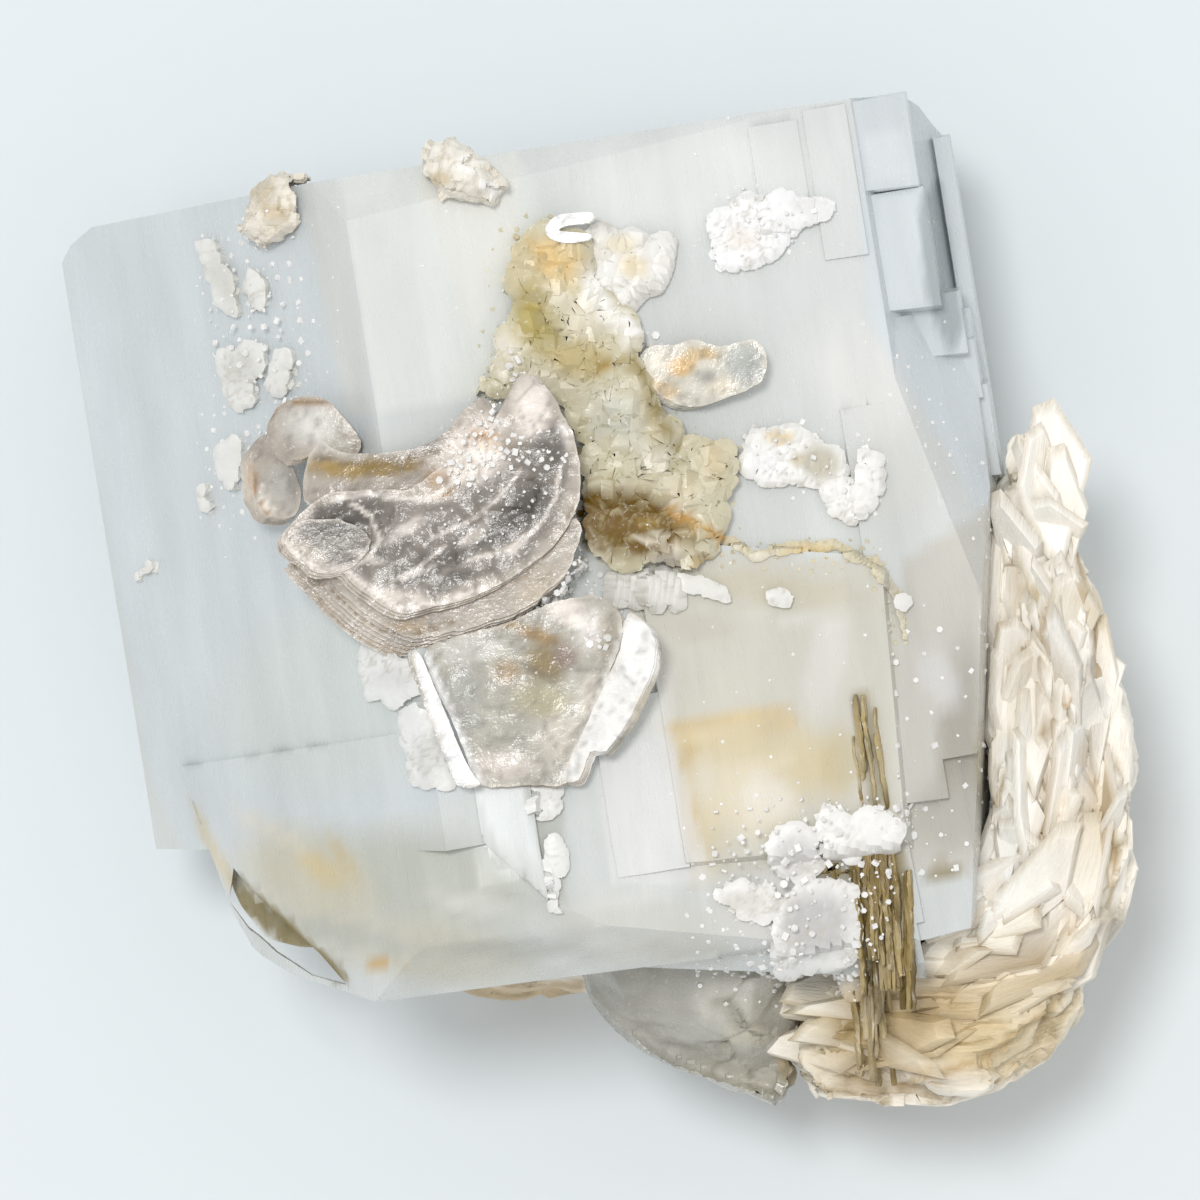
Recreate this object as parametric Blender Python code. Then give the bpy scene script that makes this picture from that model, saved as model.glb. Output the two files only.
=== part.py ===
"""A blocky aquamarine crystal on feldspar, with muscovite books, albite crusts and a little quartz.

The specimen lies on the flat cut back of its feldspar. +Z is up, towards the display side, and +Y is the top of
that side. Every length below is in millimetres. The crystal is laid out in its own frame, (across, along, up):
"along" is the c axis of the beryl, which leans a few degrees to the left of +Y, and "across" is square to it.
"""

import math

import bmesh
import bpy
from mathutils import Matrix, Vector, noise
from mathutils.bvhtree import BVHTree

MM = 0.001
GAP = 0.3  # left between two minerals that touch
WELD = 0.0005

# The aquamarine: a hexagonal prism turned a little about its c axis.
C_AXIS_LEAN = math.radians(9.1)
FRONT_TURN = 10.0
PRISM_ANGLE = 60.0
LEFT_TURN = FRONT_TURN - PRISM_ANGLE
RIGHT_TURN = FRONT_TURN + PRISM_ANGLE
RIDGE_ACROSS = -11.4
RIDGE_UP = 37.0
LEFT_EDGE = (-29.3, 15.7)
RIGHT_EDGE = (25.5, 15.3)
SHOULDER_ACROSS = 19.6
BACK_UP = 2.5
TOP_ALONG = 27.4
LEFT_END_ALONG = -8.9
BOTTOM_ALONG = -22.0
FRONT_SLOPE = math.tan(math.radians(FRONT_TURN))

# The rock that carries it
BASE_TOP = 9.0
FELDSPAR_TOP = 25.0
FAN_TOP = 26.0
QUARTZ_TOP = 23.5


def turned(degrees, along=0.0):
    """The outward direction of a prism face, turned from straight up about the c axis."""
    angle = math.radians(degrees)
    return Vector((math.sin(angle), along, math.cos(angle))).normalized()


def front_up(across):
    """How high the front prism face stands at that distance across."""
    return RIDGE_UP - (across - RIDGE_ACROSS) * FRONT_SLOPE


def clear_scene():
    for obj in list(bpy.data.objects):
        bpy.data.objects.remove(obj)


def collection(name, hidden=False):
    made = bpy.data.collections.new(name)
    made.hide_render = hidden
    bpy.context.scene.collection.children.link(made)
    return made


def from_bmesh(bm, name, home):
    """A mesh object in metres from a bmesh in millimetres."""
    bmesh.ops.recalc_face_normals(bm, faces=bm.faces)
    bmesh.ops.scale(bm, vec=(MM, MM, MM), verts=bm.verts)
    mesh = bpy.data.meshes.new(name)
    bm.to_mesh(mesh)
    bm.free()
    obj = bpy.data.objects.new(name, mesh)
    home.objects.link(obj)
    return obj


def to_bmesh(obj):
    """A bmesh in millimetres from a mesh or curve object as the viewport evaluates it."""
    bpy.context.view_layer.update()
    evaluated = obj.evaluated_get(bpy.context.evaluated_depsgraph_get())
    mesh = bpy.data.meshes.new_from_object(evaluated)
    bm = bmesh.new()
    bm.from_mesh(mesh)
    bm.transform(obj.matrix_world)
    bpy.data.meshes.remove(mesh)
    bmesh.ops.scale(bm, vec=(1 / MM,) * 3, verts=bm.verts)
    return bm


def remove(*objects):
    for obj in objects:
        bpy.data.objects.remove(obj)


def combine(target, other, operation):
    """Applies a Boolean to target and keeps its largest body, since a cut can leave crumbs."""
    modifier = target.modifiers.new("cut", "BOOLEAN")
    modifier.operation = operation
    modifier.solver = "MANIFOLD"
    modifier.object = other
    bm = to_bmesh(target)
    target.modifiers.remove(modifier)
    bmesh.ops.remove_doubles(bm, verts=bm.verts, dist=WELD)
    keep_largest(bm)
    bmesh.ops.scale(bm, vec=(MM, MM, MM), verts=bm.verts)
    bm.to_mesh(target.data)
    bm.free()
    return target


def keep_largest(bm):
    """Deletes every body but the one with the largest surface. Bodies that meet only at a point count as two."""
    left = set(bm.faces)
    bodies = []
    while left:
        body, edge = set(), [left.pop()]
        while edge:
            face = edge.pop()
            body.add(face)
            for line in face.edges:
                for other in line.link_faces if line.is_manifold else ():
                    if other in left:
                        left.discard(other)
                        edge.append(other)
        bodies.append(body)
    largest = max(bodies, key=lambda body: sum(face.calc_area() for face in body))
    crumbs = [face for body in bodies if body is not largest for face in body]
    bmesh.ops.delete(bm, geom=crumbs, context="FACES")


def grown(obj, home, by=GAP):
    """A cutter: a copy of the object with every face moved outwards."""
    bm = to_bmesh(obj)
    bmesh.ops.triangulate(bm, faces=bm.faces)
    bm.normal_update()
    moved = []
    for vert in bm.verts:
        push = Vector()
        for face in vert.link_faces:
            push += face.normal * face.calc_area()
        push.normalize()
        least = min((push.dot(face.normal) for face in vert.link_faces), default=1.0)
        moved.append(vert.co + push * by / max(least, 0.45))
    for vert, place in zip(bm.verts, moved):
        vert.co = place
    return from_bmesh(bm, "cutter_" + obj.name, home)


def margins(obj, home):
    """Two cutters round the object. The thinner one reaches into corners where the other one folds over itself."""
    return [grown(obj, home), grown(obj, home, GAP / 3)]


def crystal_body(planes, home, grow=0.0):
    """One convex crystal: a block cut back to each (point, outward direction), in the crystal's frame."""
    bm = bmesh.new()
    bmesh.ops.create_cube(bm, size=160.0)
    for point, direction in planes:
        outward = Vector(direction).normalized()
        bmesh.ops.bisect_plane(
            bm,
            geom=bm.verts[:] + bm.edges[:] + bm.faces[:],
            plane_co=Vector(point) + outward * grow,
            plane_no=outward,
            clear_outer=True,
        )
        open_edges = [edge for edge in bm.edges if edge.is_boundary]
        bmesh.ops.holes_fill(bm, edges=open_edges, sides=0)
    bmesh.ops.rotate(bm, cent=(0, 0, 0), matrix=Matrix.Rotation(C_AXIS_LEAN, 3, "Z"), verts=bm.verts)
    return from_bmesh(bm, "crystal_body", home)


def shared_prism_faces():
    """The faces that the upper and the lower length of the crystal have in common."""
    return [
        ((RIDGE_ACROSS, 0, RIDGE_UP), turned(LEFT_TURN)),
        ((RIDGE_ACROSS, 0, RIDGE_UP), turned(FRONT_TURN)),
        ((LEFT_EDGE[0], 0, LEFT_EDGE[1]), turned(LEFT_TURN - PRISM_ANGLE)),
        ((RIGHT_EDGE[0], 0, RIGHT_EDGE[1]), turned(RIGHT_TURN + PRISM_ANGLE)),
        ((0, 0, BACK_UP), (0, 0, -1)),
    ]


def upper_length():
    """The upper half, which ends in the flat basal face with its corners bevelled."""
    shoulder = (SHOULDER_ACROSS, 0, front_up(SHOULDER_ACROSS))
    return shared_prism_faces() + [
        (shoulder, turned(RIGHT_TURN)),
        ((0, TOP_ALONG, 0), (0, 1, 0)),
        ((0, 2.0, 0), (0, -1, 0)),
        ((-29.3, 25.6, 16), (-0.80, 0.60, 0)),
        ((-28.7, 26.5, 16), (-0.48, 0.88, 0)),
        ((-27.0, TOP_ALONG, 17), (-0.16, 0.98, 0)),
        ((22.9, TOP_ALONG, 22), (0.55, 0.84, 0)),
        ((24.4, 26.0, 18), (0.84, 0.54, 0)),
        ((5.0, TOP_ALONG, front_up(5.0) - 0.9), (0.08, 0.62, 0.78)),
    ]


def lower_length():
    """The lower half, whose right shoulder slants away."""
    return shared_prism_faces() + [
        ((18.9, 14.0, front_up(18.9)), (0.50, 0.145, 0.85)),
        ((21.6, 6.0, front_up(21.6) - 1.2), (0.80, 0.16, 0.58)),
        ((25.5, 5.0, 16), (1, 0, 0.1)),
        ((25.9, 5.0, 16), (0.975, -0.19, 0.1)),
        ((0, 14.0, 0), (0, 1, 0)),
        ((0, LEFT_END_ALONG, 0), (0, -1, -0.12)),
    ]


def lower_front():
    """The rounded lower front, broken off in a curl at the bottom left."""
    left_face = turned(LEFT_TURN)
    raised = Vector((RIDGE_ACROSS, 0, RIDGE_UP)) + left_face * 0.35
    return [
        (raised, left_face),
        ((-14.6, 0, 33.8), turned(-36)),
        ((-12.4, 0, 35.2), turned(-20)),
        ((-9.6, 0, 36.1), turned(-4)),
        ((-5.0, 0, front_up(-5.0)), turned(FRONT_TURN)),
        ((15.5, 0, 0), (1, 0.03, 0)),
        ((-26.6, -8.4, 20.0), (-0.965, -0.26, -0.25)),
        ((-25.3, -13.8, 20.5), (-0.958, -0.287, -0.25)),
        ((-24.7, -15.8, 21.0), (-0.894, -0.447, -0.25)),
        ((-23.7, -17.8, 22.0), (-0.651, -0.759, -0.25)),
        ((-21.6, -19.6, 25.0), (-0.403, -0.915, -0.25)),
        ((-18.65, -20.9, 28.4), (-0.166, -0.986, -0.25)),
        ((-12.7, BOTTOM_ALONG, 31.5), (0, -1, -0.25)),
        ((-7.0, -16.6, front_up(-7.0)), (-0.10, -0.42, 0.9)),
        ((-7.0, -19.6, front_up(-7.0) - 1.7), (-0.08, -0.75, 0.62)),
        ((0, 0, 10.0), (0, 0, -1)),
        ((0, -6.0, 0), (0, 1, 0)),
    ]


def lower_foot():
    """The lower right of the front, which reaches a little further down than the left."""
    return [
        ((-5.0, 0, front_up(-5.0)), turned(FRONT_TURN)),
        ((-6.0, -21.0, 30.0), (-1, 0.1, 0)),
        ((14.6, 0, 30.0), (1, 0.05, 0)),
        ((-4.1, -21.7, 30.0), (-0.21, -1, -0.28)),
        ((0, -17.4, front_up(0)), (-0.06, -0.36, 0.92)),
        ((4.0, -20.6, front_up(4.0) - 1.5), (-0.10, -0.62, 0.76)),
        ((4.0, -22.6, front_up(4.0) - 3.6), (-0.16, -0.85, 0.44)),
        ((0, 0, 14.0), (0, 0, -1)),
        ((0, -12.0, 0), (0, 1, 0)),
    ]


def right_column():
    """The striated column that runs down beside the inset block and ends in a ragged break."""
    return [
        ((15.0, 0, front_up(15.0) - 0.5), turned(FRONT_TURN + 3)),
        ((20.6, 0, front_up(20.6) - 1.2), turned(36)),
        ((25.9, 5.0, 16), (0.975, -0.19, 0.1)),
        ((25.4, 0.0, 16), (1, 0, 0.1)),
        ((13.0, 0, 0), (-1, 0, 0)),
        ((0, 1.0, 0), (0, 1, 0)),
        ((18.0, -18.4, 0), (0.05, -1, -0.15)),
        ((0, 0, 12.0), (0, 0, -1)),
    ]


def inset_block():
    """A smaller crystal grown parallel to the main one, its rounded top right corner outlined by a crack."""
    top = turned(FRONT_TURN - 2, 0.015)
    return [
        ((8.0, -8.0, front_up(8.0) + 0.8), top),
        ((2.4, 0, front_up(2.4)), (-1, 0.0, 0.3)),
        ((7.6, 2.1, 0), (-0.30, 0.954, 0)),
        ((7.6, 2.1, 0), (0.226, 0.974, 0)),
        ((16.4, -0.1, 31), (0.66, 0.75, 0.2)),
        ((17.6, -2.8, 30), (0.995, -0.06, 0.25)),
        ((0, -16.8, 34), (0, -1, 0.35)),
        ((0, 0, 25.0), (0, 0, -1)),
    ]


def plate(left, right, low, high, up, turn):
    """A thin parallel growth: a strip of the surface with square ends. up is its height at its middle."""
    middle = ((left + right) / 2, (low + high) / 2, up)
    return [
        (middle, turned(turn)),
        ((left, 0, up), (-1, 0, 0.12)),
        ((right, 0, up), (1, 0, 0.05)),
        ((0, low, up), (0, -1, 0.1)),
        ((0, high, up), (0, 1, 0.05)),
        ((0, 0, up - 7.0), (0, 0, -1)),
    ]


def growth_plates():
    """Steps and terraces parallel to the prism: on the right flank, at the top right and below the lower book."""
    raised = 0.35
    flank = [
        plate(19.4, 22.9, 21.7, 27.2, 30.6, 24),
        plate(18.8, 23.1, 14.4, 21.5, 30.1, 22),
        plate(18.7, 24.3, 11.4, 15.0, 28.0, 26),
        plate(20.0, 24.8, 8.6, 12.0, 26.2, 28),
        plate(21.2, 25.2, 3.8, 9.2, 24.8, 28),
        plate(24.5, 25.5, 3.0, 24.6, 18.6, 20),
    ]
    face = [
        plate(16.6, 19.2, 18.0, 27.1, front_up(17.9) + 0.30, 8),
        plate(13.2, 16.2, 20.4, 26.6, front_up(14.7) + 0.25, 12),
        plate(-1.6, 2.8, -16.6, -6.0, front_up(0.6) + raised, 5),
        plate(16.0, 18.8, -15.0, 9.0, front_up(17.4) + 0.15, 16),
    ]
    terrace = plate(-9.2, -5.9, -17.6, -7.5, front_up(-7.6) + raised, 2)
    terrace.append(((-9.6, -12.6, 0), (-0.777, -0.63, 0)))
    return flank + face + [terrace]


def build_aquamarine(home, grow=0.0):
    """All the parallel growths joined in one solid. grow makes a larger one to cut its socket with."""
    bodies = [upper_length(), lower_length(), lower_front(), lower_foot(), right_column(), inset_block()]
    bodies += growth_plates()
    made = None
    for planes in bodies:
        body = crystal_body(planes, home, grow)
        if made is None:
            made = body
        else:
            combine(made, body, "UNION")
            remove(body)
    made.name = "aquamarine" if grow == 0.0 else "cutter_aquamarine"
    return made


def curl_groove(home):
    """The crescent hollow behind the thin lip at the bottom left."""
    crescent = [(-22.3, -16.3), (-21.4, -17.4), (-19.0, -19.6), (-16.9, -21.4), (-15.3, -23.2)]
    back = [(-17.4, -22.7), (-19.6, -21.4), (-21.4, -19.9), (-22.6, -18.3)]
    bm = extruded(crescent + back, 19.0, 42.0, home)
    return from_bmesh(bm, "groove", home)


def extruded(outline, low, high, home, cell=None, levels=()):
    """A bmesh in millimetres: a flat outline given thickness, and cut by a grid of planes if cell is given."""
    curve = bpy.data.curves.new("outline", "CURVE")
    curve.dimensions = "2D"
    curve.fill_mode = "BOTH"
    curve.extrude = (high - low) / 2 * MM
    spline = curve.splines.new("POLY")
    spline.points.add(len(outline) - 1)
    for point, (x, y) in zip(spline.points, outline):
        point.co = (x * MM, y * MM, 0, 1)
    spline.use_cyclic_u = True
    obj = bpy.data.objects.new("outline", curve)
    obj.location.z = (high + low) / 2 * MM
    home.objects.link(obj)
    bm = to_bmesh(obj)
    remove(obj)
    bmesh.ops.remove_doubles(bm, verts=bm.verts, dist=WELD)
    if cell:
        xs = [x for x, _ in outline]
        ys = [y for _, y in outline]
        for axis, start, end in ((0, min(xs), max(xs)), (1, min(ys), max(ys))):
            cuts = max(1, round((end - start) / cell))
            for i in range(1, cuts):
                slice_at(bm, axis, start + (end - start) * i / cuts)
    for level in levels:
        slice_at(bm, 2, level)
    return bm


def slice_at(bm, axis, place):
    """Cuts every face along one plane square to an axis, so that the faces there can bend."""
    normal = Vector((0, 0, 0))
    normal[axis] = 1
    geom = bm.verts[:] + bm.edges[:] + bm.faces[:]
    bmesh.ops.bisect_plane(bm, geom=geom, plane_co=normal * place, plane_no=normal)


def edge_distance(point, outline):
    """How far a point lies inside an outline, measured to the nearest side."""
    best = 1e9
    for i, start in enumerate(outline):
        a, b = Vector(start), Vector(outline[(i + 1) % len(outline)])
        along = max(0.0, min(1.0, (point - a).dot(b - a) / (b - a).length_squared))
        best = min(best, (point - a - (b - a) * along).length)
    return best


def bump(place, size, seed):
    """Smooth noise between about -1 and 1, the same on every run."""
    return noise.noise(Vector(place) / size + Vector((seed * 7.3, seed * 3.1, seed * 1.7)))


def boulder(name, outline, low, high, home, cell=3.0, rough=0.9, dome=4.0, belly=1.5, seed=1, fall=(0, 0)):
    """A rough lump with the outline that shows from above and a flat bottom if it stands on the cut.

    dome is how far its top drops towards the rim, belly how far its foot draws in, and fall the slope of its
    top in x and y.
    """
    count = max(2, round((high - low) / (cell * 1.3)))
    levels = [low + (high - low) * i / count for i in range(1, count)]
    bm = extruded(outline, low, high, home, cell, levels)
    middle = sum((Vector(p) for p in outline), Vector((0, 0))) / len(outline)
    for vert in bm.verts:
        flat = vert.co.xy
        share = (vert.co.z - low) / (high - low)
        rim = min(1.0, edge_distance(flat, outline) / dome)
        if share > 0.99:
            vert.co.z -= dome * (1 - rim) ** 2 * 0.6
            vert.co.z += (flat - middle).dot(Vector(fall))
            vert.co.z += bump(vert.co, 5.0, seed) * rough * 1.3
        inwards = (middle - flat).normalized() if (middle - flat).length > 0.1 else Vector((0, 0))
        draw = belly * (abs(share - 0.62) / 0.62) ** 2 * (1 - rim)
        vert.co.x += inwards.x * draw + bump(vert.co, 4.0, seed + 1) * rough * 0.6
        vert.co.y += inwards.y * draw + bump(vert.co, 4.0, seed + 2) * rough * 0.6
        if share < 0.01:
            vert.co.z = low
    return from_bmesh(bm, name, home)


def blade(centre, half, lean, home, tilt=0.0):
    """A lens-shaped cleavage blade: half its size across, along and up, turned in the plane of the face."""
    bm = bmesh.new()
    bmesh.ops.create_icosphere(bm, subdivisions=2, radius=1.0)
    for vert in bm.verts:
        vert.co.z = max(-1.0, min(0.62, vert.co.z * 1.1))
    bmesh.ops.scale(bm, vec=half, verts=bm.verts)
    turn = Matrix.Rotation(math.radians(lean), 3, "Z") @ Matrix.Rotation(math.radians(tilt), 3, "Y")
    bmesh.ops.rotate(bm, cent=(0, 0, 0), matrix=turn, verts=bm.verts)
    bmesh.ops.translate(bm, vec=centre, verts=bm.verts)
    return from_bmesh(bm, "blade", home)


def add_all(target, bodies):
    for body in bodies:
        combine(target, body, "UNION")
        remove(body)
    return target


def cut_by(target, cutters):
    for cutter in cutters:
        combine(target, cutter, "DIFFERENCE")
    return target


def build_feldspar(home, cutters):
    """The matrix: a slab under the crystal, cut flat, a wall of blades up its right side, and a fan below."""
    base = [(-20, 13), (-13, 19), (0, 21.5), (12, 21), (17, 14), (23, 9), (29, 6), (31, -4), (31, -17),
            (27, -24), (15, -27.5), (3, -25.6), (-1, -24.4), (-5, -24.9), (-9.4, -24.2), (-14, -21),
            (-19, -13), (-22, 1)]
    wall = [(23.5, 5.5), (25.9, 9.7), (27.3, 9.6), (28.3, 7.4), (29.3, 2.4), (30.5, 0), (31.2, -3), (32.2, -6.7),
            (32.5, -10.3), (32.3, -14), (32.9, -16.4), (32.0, -20.1), (30.2, -22.4), (24, -23), (19, -19),
            (16, -9), (19, 0)]
    slab = boulder("feldspar_matrix", base, 0.0, BASE_TOP, home, cell=4.2, rough=0.9, dome=3.0, belly=1.6, seed=3)
    side = boulder("side", wall, 3.0, FELDSPAR_TOP, home, cell=2.6, rough=0.9, dome=3.2, belly=2.4, seed=5,
                   fall=(-0.05, 0.02))
    blades = [
        blade((26.7, 6.2, 23.4), (1.7, 4.4, 2.6), 14, home),
        blade((27.6, -2.6, 24.6), (2.5, 4.2, 2.4), 4, home),
        blade((25.0, -6.6, 24.6), (1.7, 4.4, 1.8), 12, home, 8),
        blade((30.4, -8.2, 23.2), (1.8, 5.2, 2.4), 6, home, 14),
        blade((27.5, -10.6, 24.6), (1.8, 3.8, 1.9), -6, home),
        blade((30.3, -14.8, 23.4), (2.0, 3.9, 2.2), -10, home, 8),
        blade((25.4, -14.6, 25.2), (1.8, 5.6, 2.0), 8, home, -6),
        blade((28.2, -17.6, 24.2), (1.8, 4.4, 2.1), 16, home),
    ]
    add_all(slab, [side] + blades + fan_bodies(home))
    return cut_by(slab, cutters)


def fan_bodies(home):
    """Platy feldspar at the bottom right, its blades spread like a fan."""
    outline = [(17.4, -16.0), (20.4, -14.0), (24.4, -14.6), (27.0, -17.6), (30.0, -21.6), (29.4, -25.0), (27.4, -28.2),
               (24.3, -30.1), (20.6, -30.8), (16.6, -30.8), (13.4, -30.4), (11.6, -28.0), (12.4, -24.4), (15.4, -21.2)]
    lump = boulder("fan", outline, 2.0, FAN_TOP, home, cell=2.6, rough=0.8, dome=4.0, belly=3.0, seed=9,
                   fall=(0.02, 0.22))
    hub = Vector((16.5, -27.5))
    bodies = [lump]
    for i, (turn, reach) in enumerate(((66, 9.4), (38, 10.4), (12, 9.8), (-14, 7.6), (98, 7.0))):
        direction = Vector((math.cos(math.radians(turn)), math.sin(math.radians(turn))))
        place = hub + direction * reach * 0.62
        bodies.append(blade((place.x, place.y, FAN_TOP - 1.4 - 0.3 * (i % 2)), (reach * 0.44, 1.5, 2.0), turn, home))
    return bodies


def build_quartz(home, cutters):
    """Grey quartz that looks out from under the crystal at the bottom."""
    outline = [(-2.0, -20.5), (-0.9, -24.0), (0.6, -25.9), (2.4, -27.6), (4.2, -28.6), (6.3, -29.3), (8.8, -30.2),
               (11.4, -30.7), (12.6, -27.0), (12.4, -22.0), (11.0, -18.6), (6.0, -18.0)]
    quartz = boulder("quartz", outline, 3.0, QUARTZ_TOP, home, cell=2.8, rough=0.6, dome=5.5, belly=2.6, seed=14,
                     fall=(0.05, 0.42))
    return cut_by(quartz, cutters)


def surface_of(obj):
    """A tree of the object's faces, in millimetres, to find how high it stands somewhere."""
    bm = to_bmesh(obj)
    tree = BVHTree.FromBMesh(bm)
    bm.free()
    return tree


def crust(name, outline, thick, grounds, home, cutters, cell=1.2, rough=0.35, seed=1, rim=0.9, sink=1.2):
    """A low lump that follows the surfaces it grew on. grounds are trees of those surfaces."""
    bm = extruded(outline, 0.0, 60.0, home, cell)
    for vert in bm.verts:
        flat = vert.co.xy.copy()
        hits = [tree.ray_cast(Vector((flat.x, flat.y, 80.0)), Vector((0, 0, -1)))[0] for tree in grounds]
        floor = max((hit.z for hit in hits if hit), default=12.0)
        if vert.co.z > 30.0:
            inside = min(1.0, edge_distance(flat, outline) / rim)
            height = thick * (0.35 + 0.65 * inside) * (1.0 + rough * bump((flat.x, flat.y, 0), 1.6, seed))
            vert.co.z = floor + max(0.3, height)
        else:
            vert.co.z = floor - sink
    return cut_by(from_bmesh(bm, name, home), cutters)


def leaf(outline, up, depth, tilt, home):
    """One mica sheet: an outline with thickness, tipped about its middle. tilt is its rise per mm in x and y."""
    bm = extruded(outline, up - depth, up, home)
    middle = sum((Vector(p) for p in outline), Vector((0, 0))) / len(outline)
    for vert in bm.verts:
        rise = (vert.co.xy - middle).dot(Vector(tilt))
        vert.co.z += rise if vert.co.z > up - depth / 2 else 0.0
    return from_bmesh(bm, "leaf", home)


def inset(outline, share, shift):
    """The outline drawn in towards its middle and moved a little, for the next sheet of a book."""
    middle = sum((Vector(p) for p in outline), Vector((0, 0))) / len(outline)
    return [tuple(middle + (Vector(p) - middle) * share + Vector(shift)) for p in outline]


def book(name, sheets, home, cutters):
    """A mica book: each sheet is (outline, height, depth, tilt), fused into one stepped solid."""
    leaves = [leaf(outline, up, depth, tilt, home) for outline, up, depth, tilt in sheets]
    made = add_all(leaves[0], leaves[1:])
    made.name = name
    return cut_by(made, cutters)


def build_upper_book(home, cutters):
    """The large muscovite book left of the middle, with its sheet edges stepped at the lower left."""
    foot = [(-18.7, 2.9), (-17.4, 0.9), (-15.6, -0.7), (-13.2, -2.2), (-10.8, -3.0), (-7.8, -2.5), (-4.8, -1.2),
            (-2.4, 0.2), (-1.2, 2.0), (-1.5, 7.0), (-10.0, 8.0), (-16.2, 5.2)]
    top = [(-19.0, 3.3), (-18.0, 4.8), (-15.6, 6.5), (-12.0, 7.1), (-9.6, 8.7), (-7.2, 11.7), (-4.8, 13.7),
           (-2.4, 12.1), (-1.3, 9.0), (-1.7, 6.0), (-2.9, 4.2), (-6.0, 2.4), (-9.6, 0.6), (-13.2, 0.0), (-16.8, 1.2)]
    ring = [(-19.4, 11.1), (-18.8, 12.0), (-16.5, 12.1), (-15.0, 11.1), (-13.4, 9.9), (-9.6, 9.4), (-10.4, 6.4),
            (-15.6, 6.0), (-18.0, 7.2)]
    chip = [(-21.0, 7.8), (-20.9, 6.0), (-19.8, 4.8), (-18.2, 5.0), (-16.4, 6.3), (-17.6, 8.6), (-20.3, 10.2)]
    sheets = []
    for i in range(4):
        slope = 0.30 - 0.08 * i
        sheets.append((inset(foot, 1 - 0.05 * i, (0.25 * i, 0.30 * i)), 35.9 + 0.75 * i, 6.0, (slope, slope * 0.4)))
    sheets += [
        (top, 38.7, 6.0, (0.03, -0.04)),
        (inset(top, 0.86, (0.9, 0.7)), 39.2, 4.0, (0.03, -0.04)),
        (ring, 36.2, 6.0, (0.36, 0.04)),
        (inset(ring, 0.8, (0.3, 0.0)), 36.6, 4.0, (0.36, 0.04)),
        (chip, 32.6, 7.0, (0.75, 0.02)),
    ]
    return book("mica_book_upper", sheets, home, cutters)


def build_lower_book(home, cutters):
    """The second book, on edge: a silvery face between two bright side blades."""
    face = [(-10.6, -3.2), (-3.6, -1.4), (1.2, -1.6), (0.4, -6.0), (-1.6, -10.2), (-2.4, -11.2), (-7.6, -11.2)]
    left = [(-10.6, -3.3), (-9.8, -3.0), (-8.4, -7.0), (-6.8, -11.1), (-8.6, -11.3), (-9.4, -8.0)]
    right = [(1.4, -1.0), (3.0, -2.0), (3.3, -3.4), (2.5, -6.3), (0.5, -8.6), (-1.9, -11.2), (-2.3, -10.2),
             (-0.4, -7.6), (0.9, -4.6)]
    chip = [(-11.4, -3.8), (-10.0, -3.6), (-8.6, -10.9), (-11.0, -11.0), (-11.2, -8.4), (-10.2, -6.0)]
    sheets = [
        (face, 37.6, 6.0, (0.03, 0.06)),
        (left, 38.5, 6.0, (0.02, 0.05)),
        (right, 38.4, 6.0, (-0.05, 0.08)),
        (inset(right, 0.8, (0.2, 0.2)), 38.8, 4.0, (-0.05, 0.08)),
        (chip, 36.9, 8.0, (0.05, 0.02)),
    ]
    return book("mica_book_lower", sheets, home, cutters)


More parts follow.
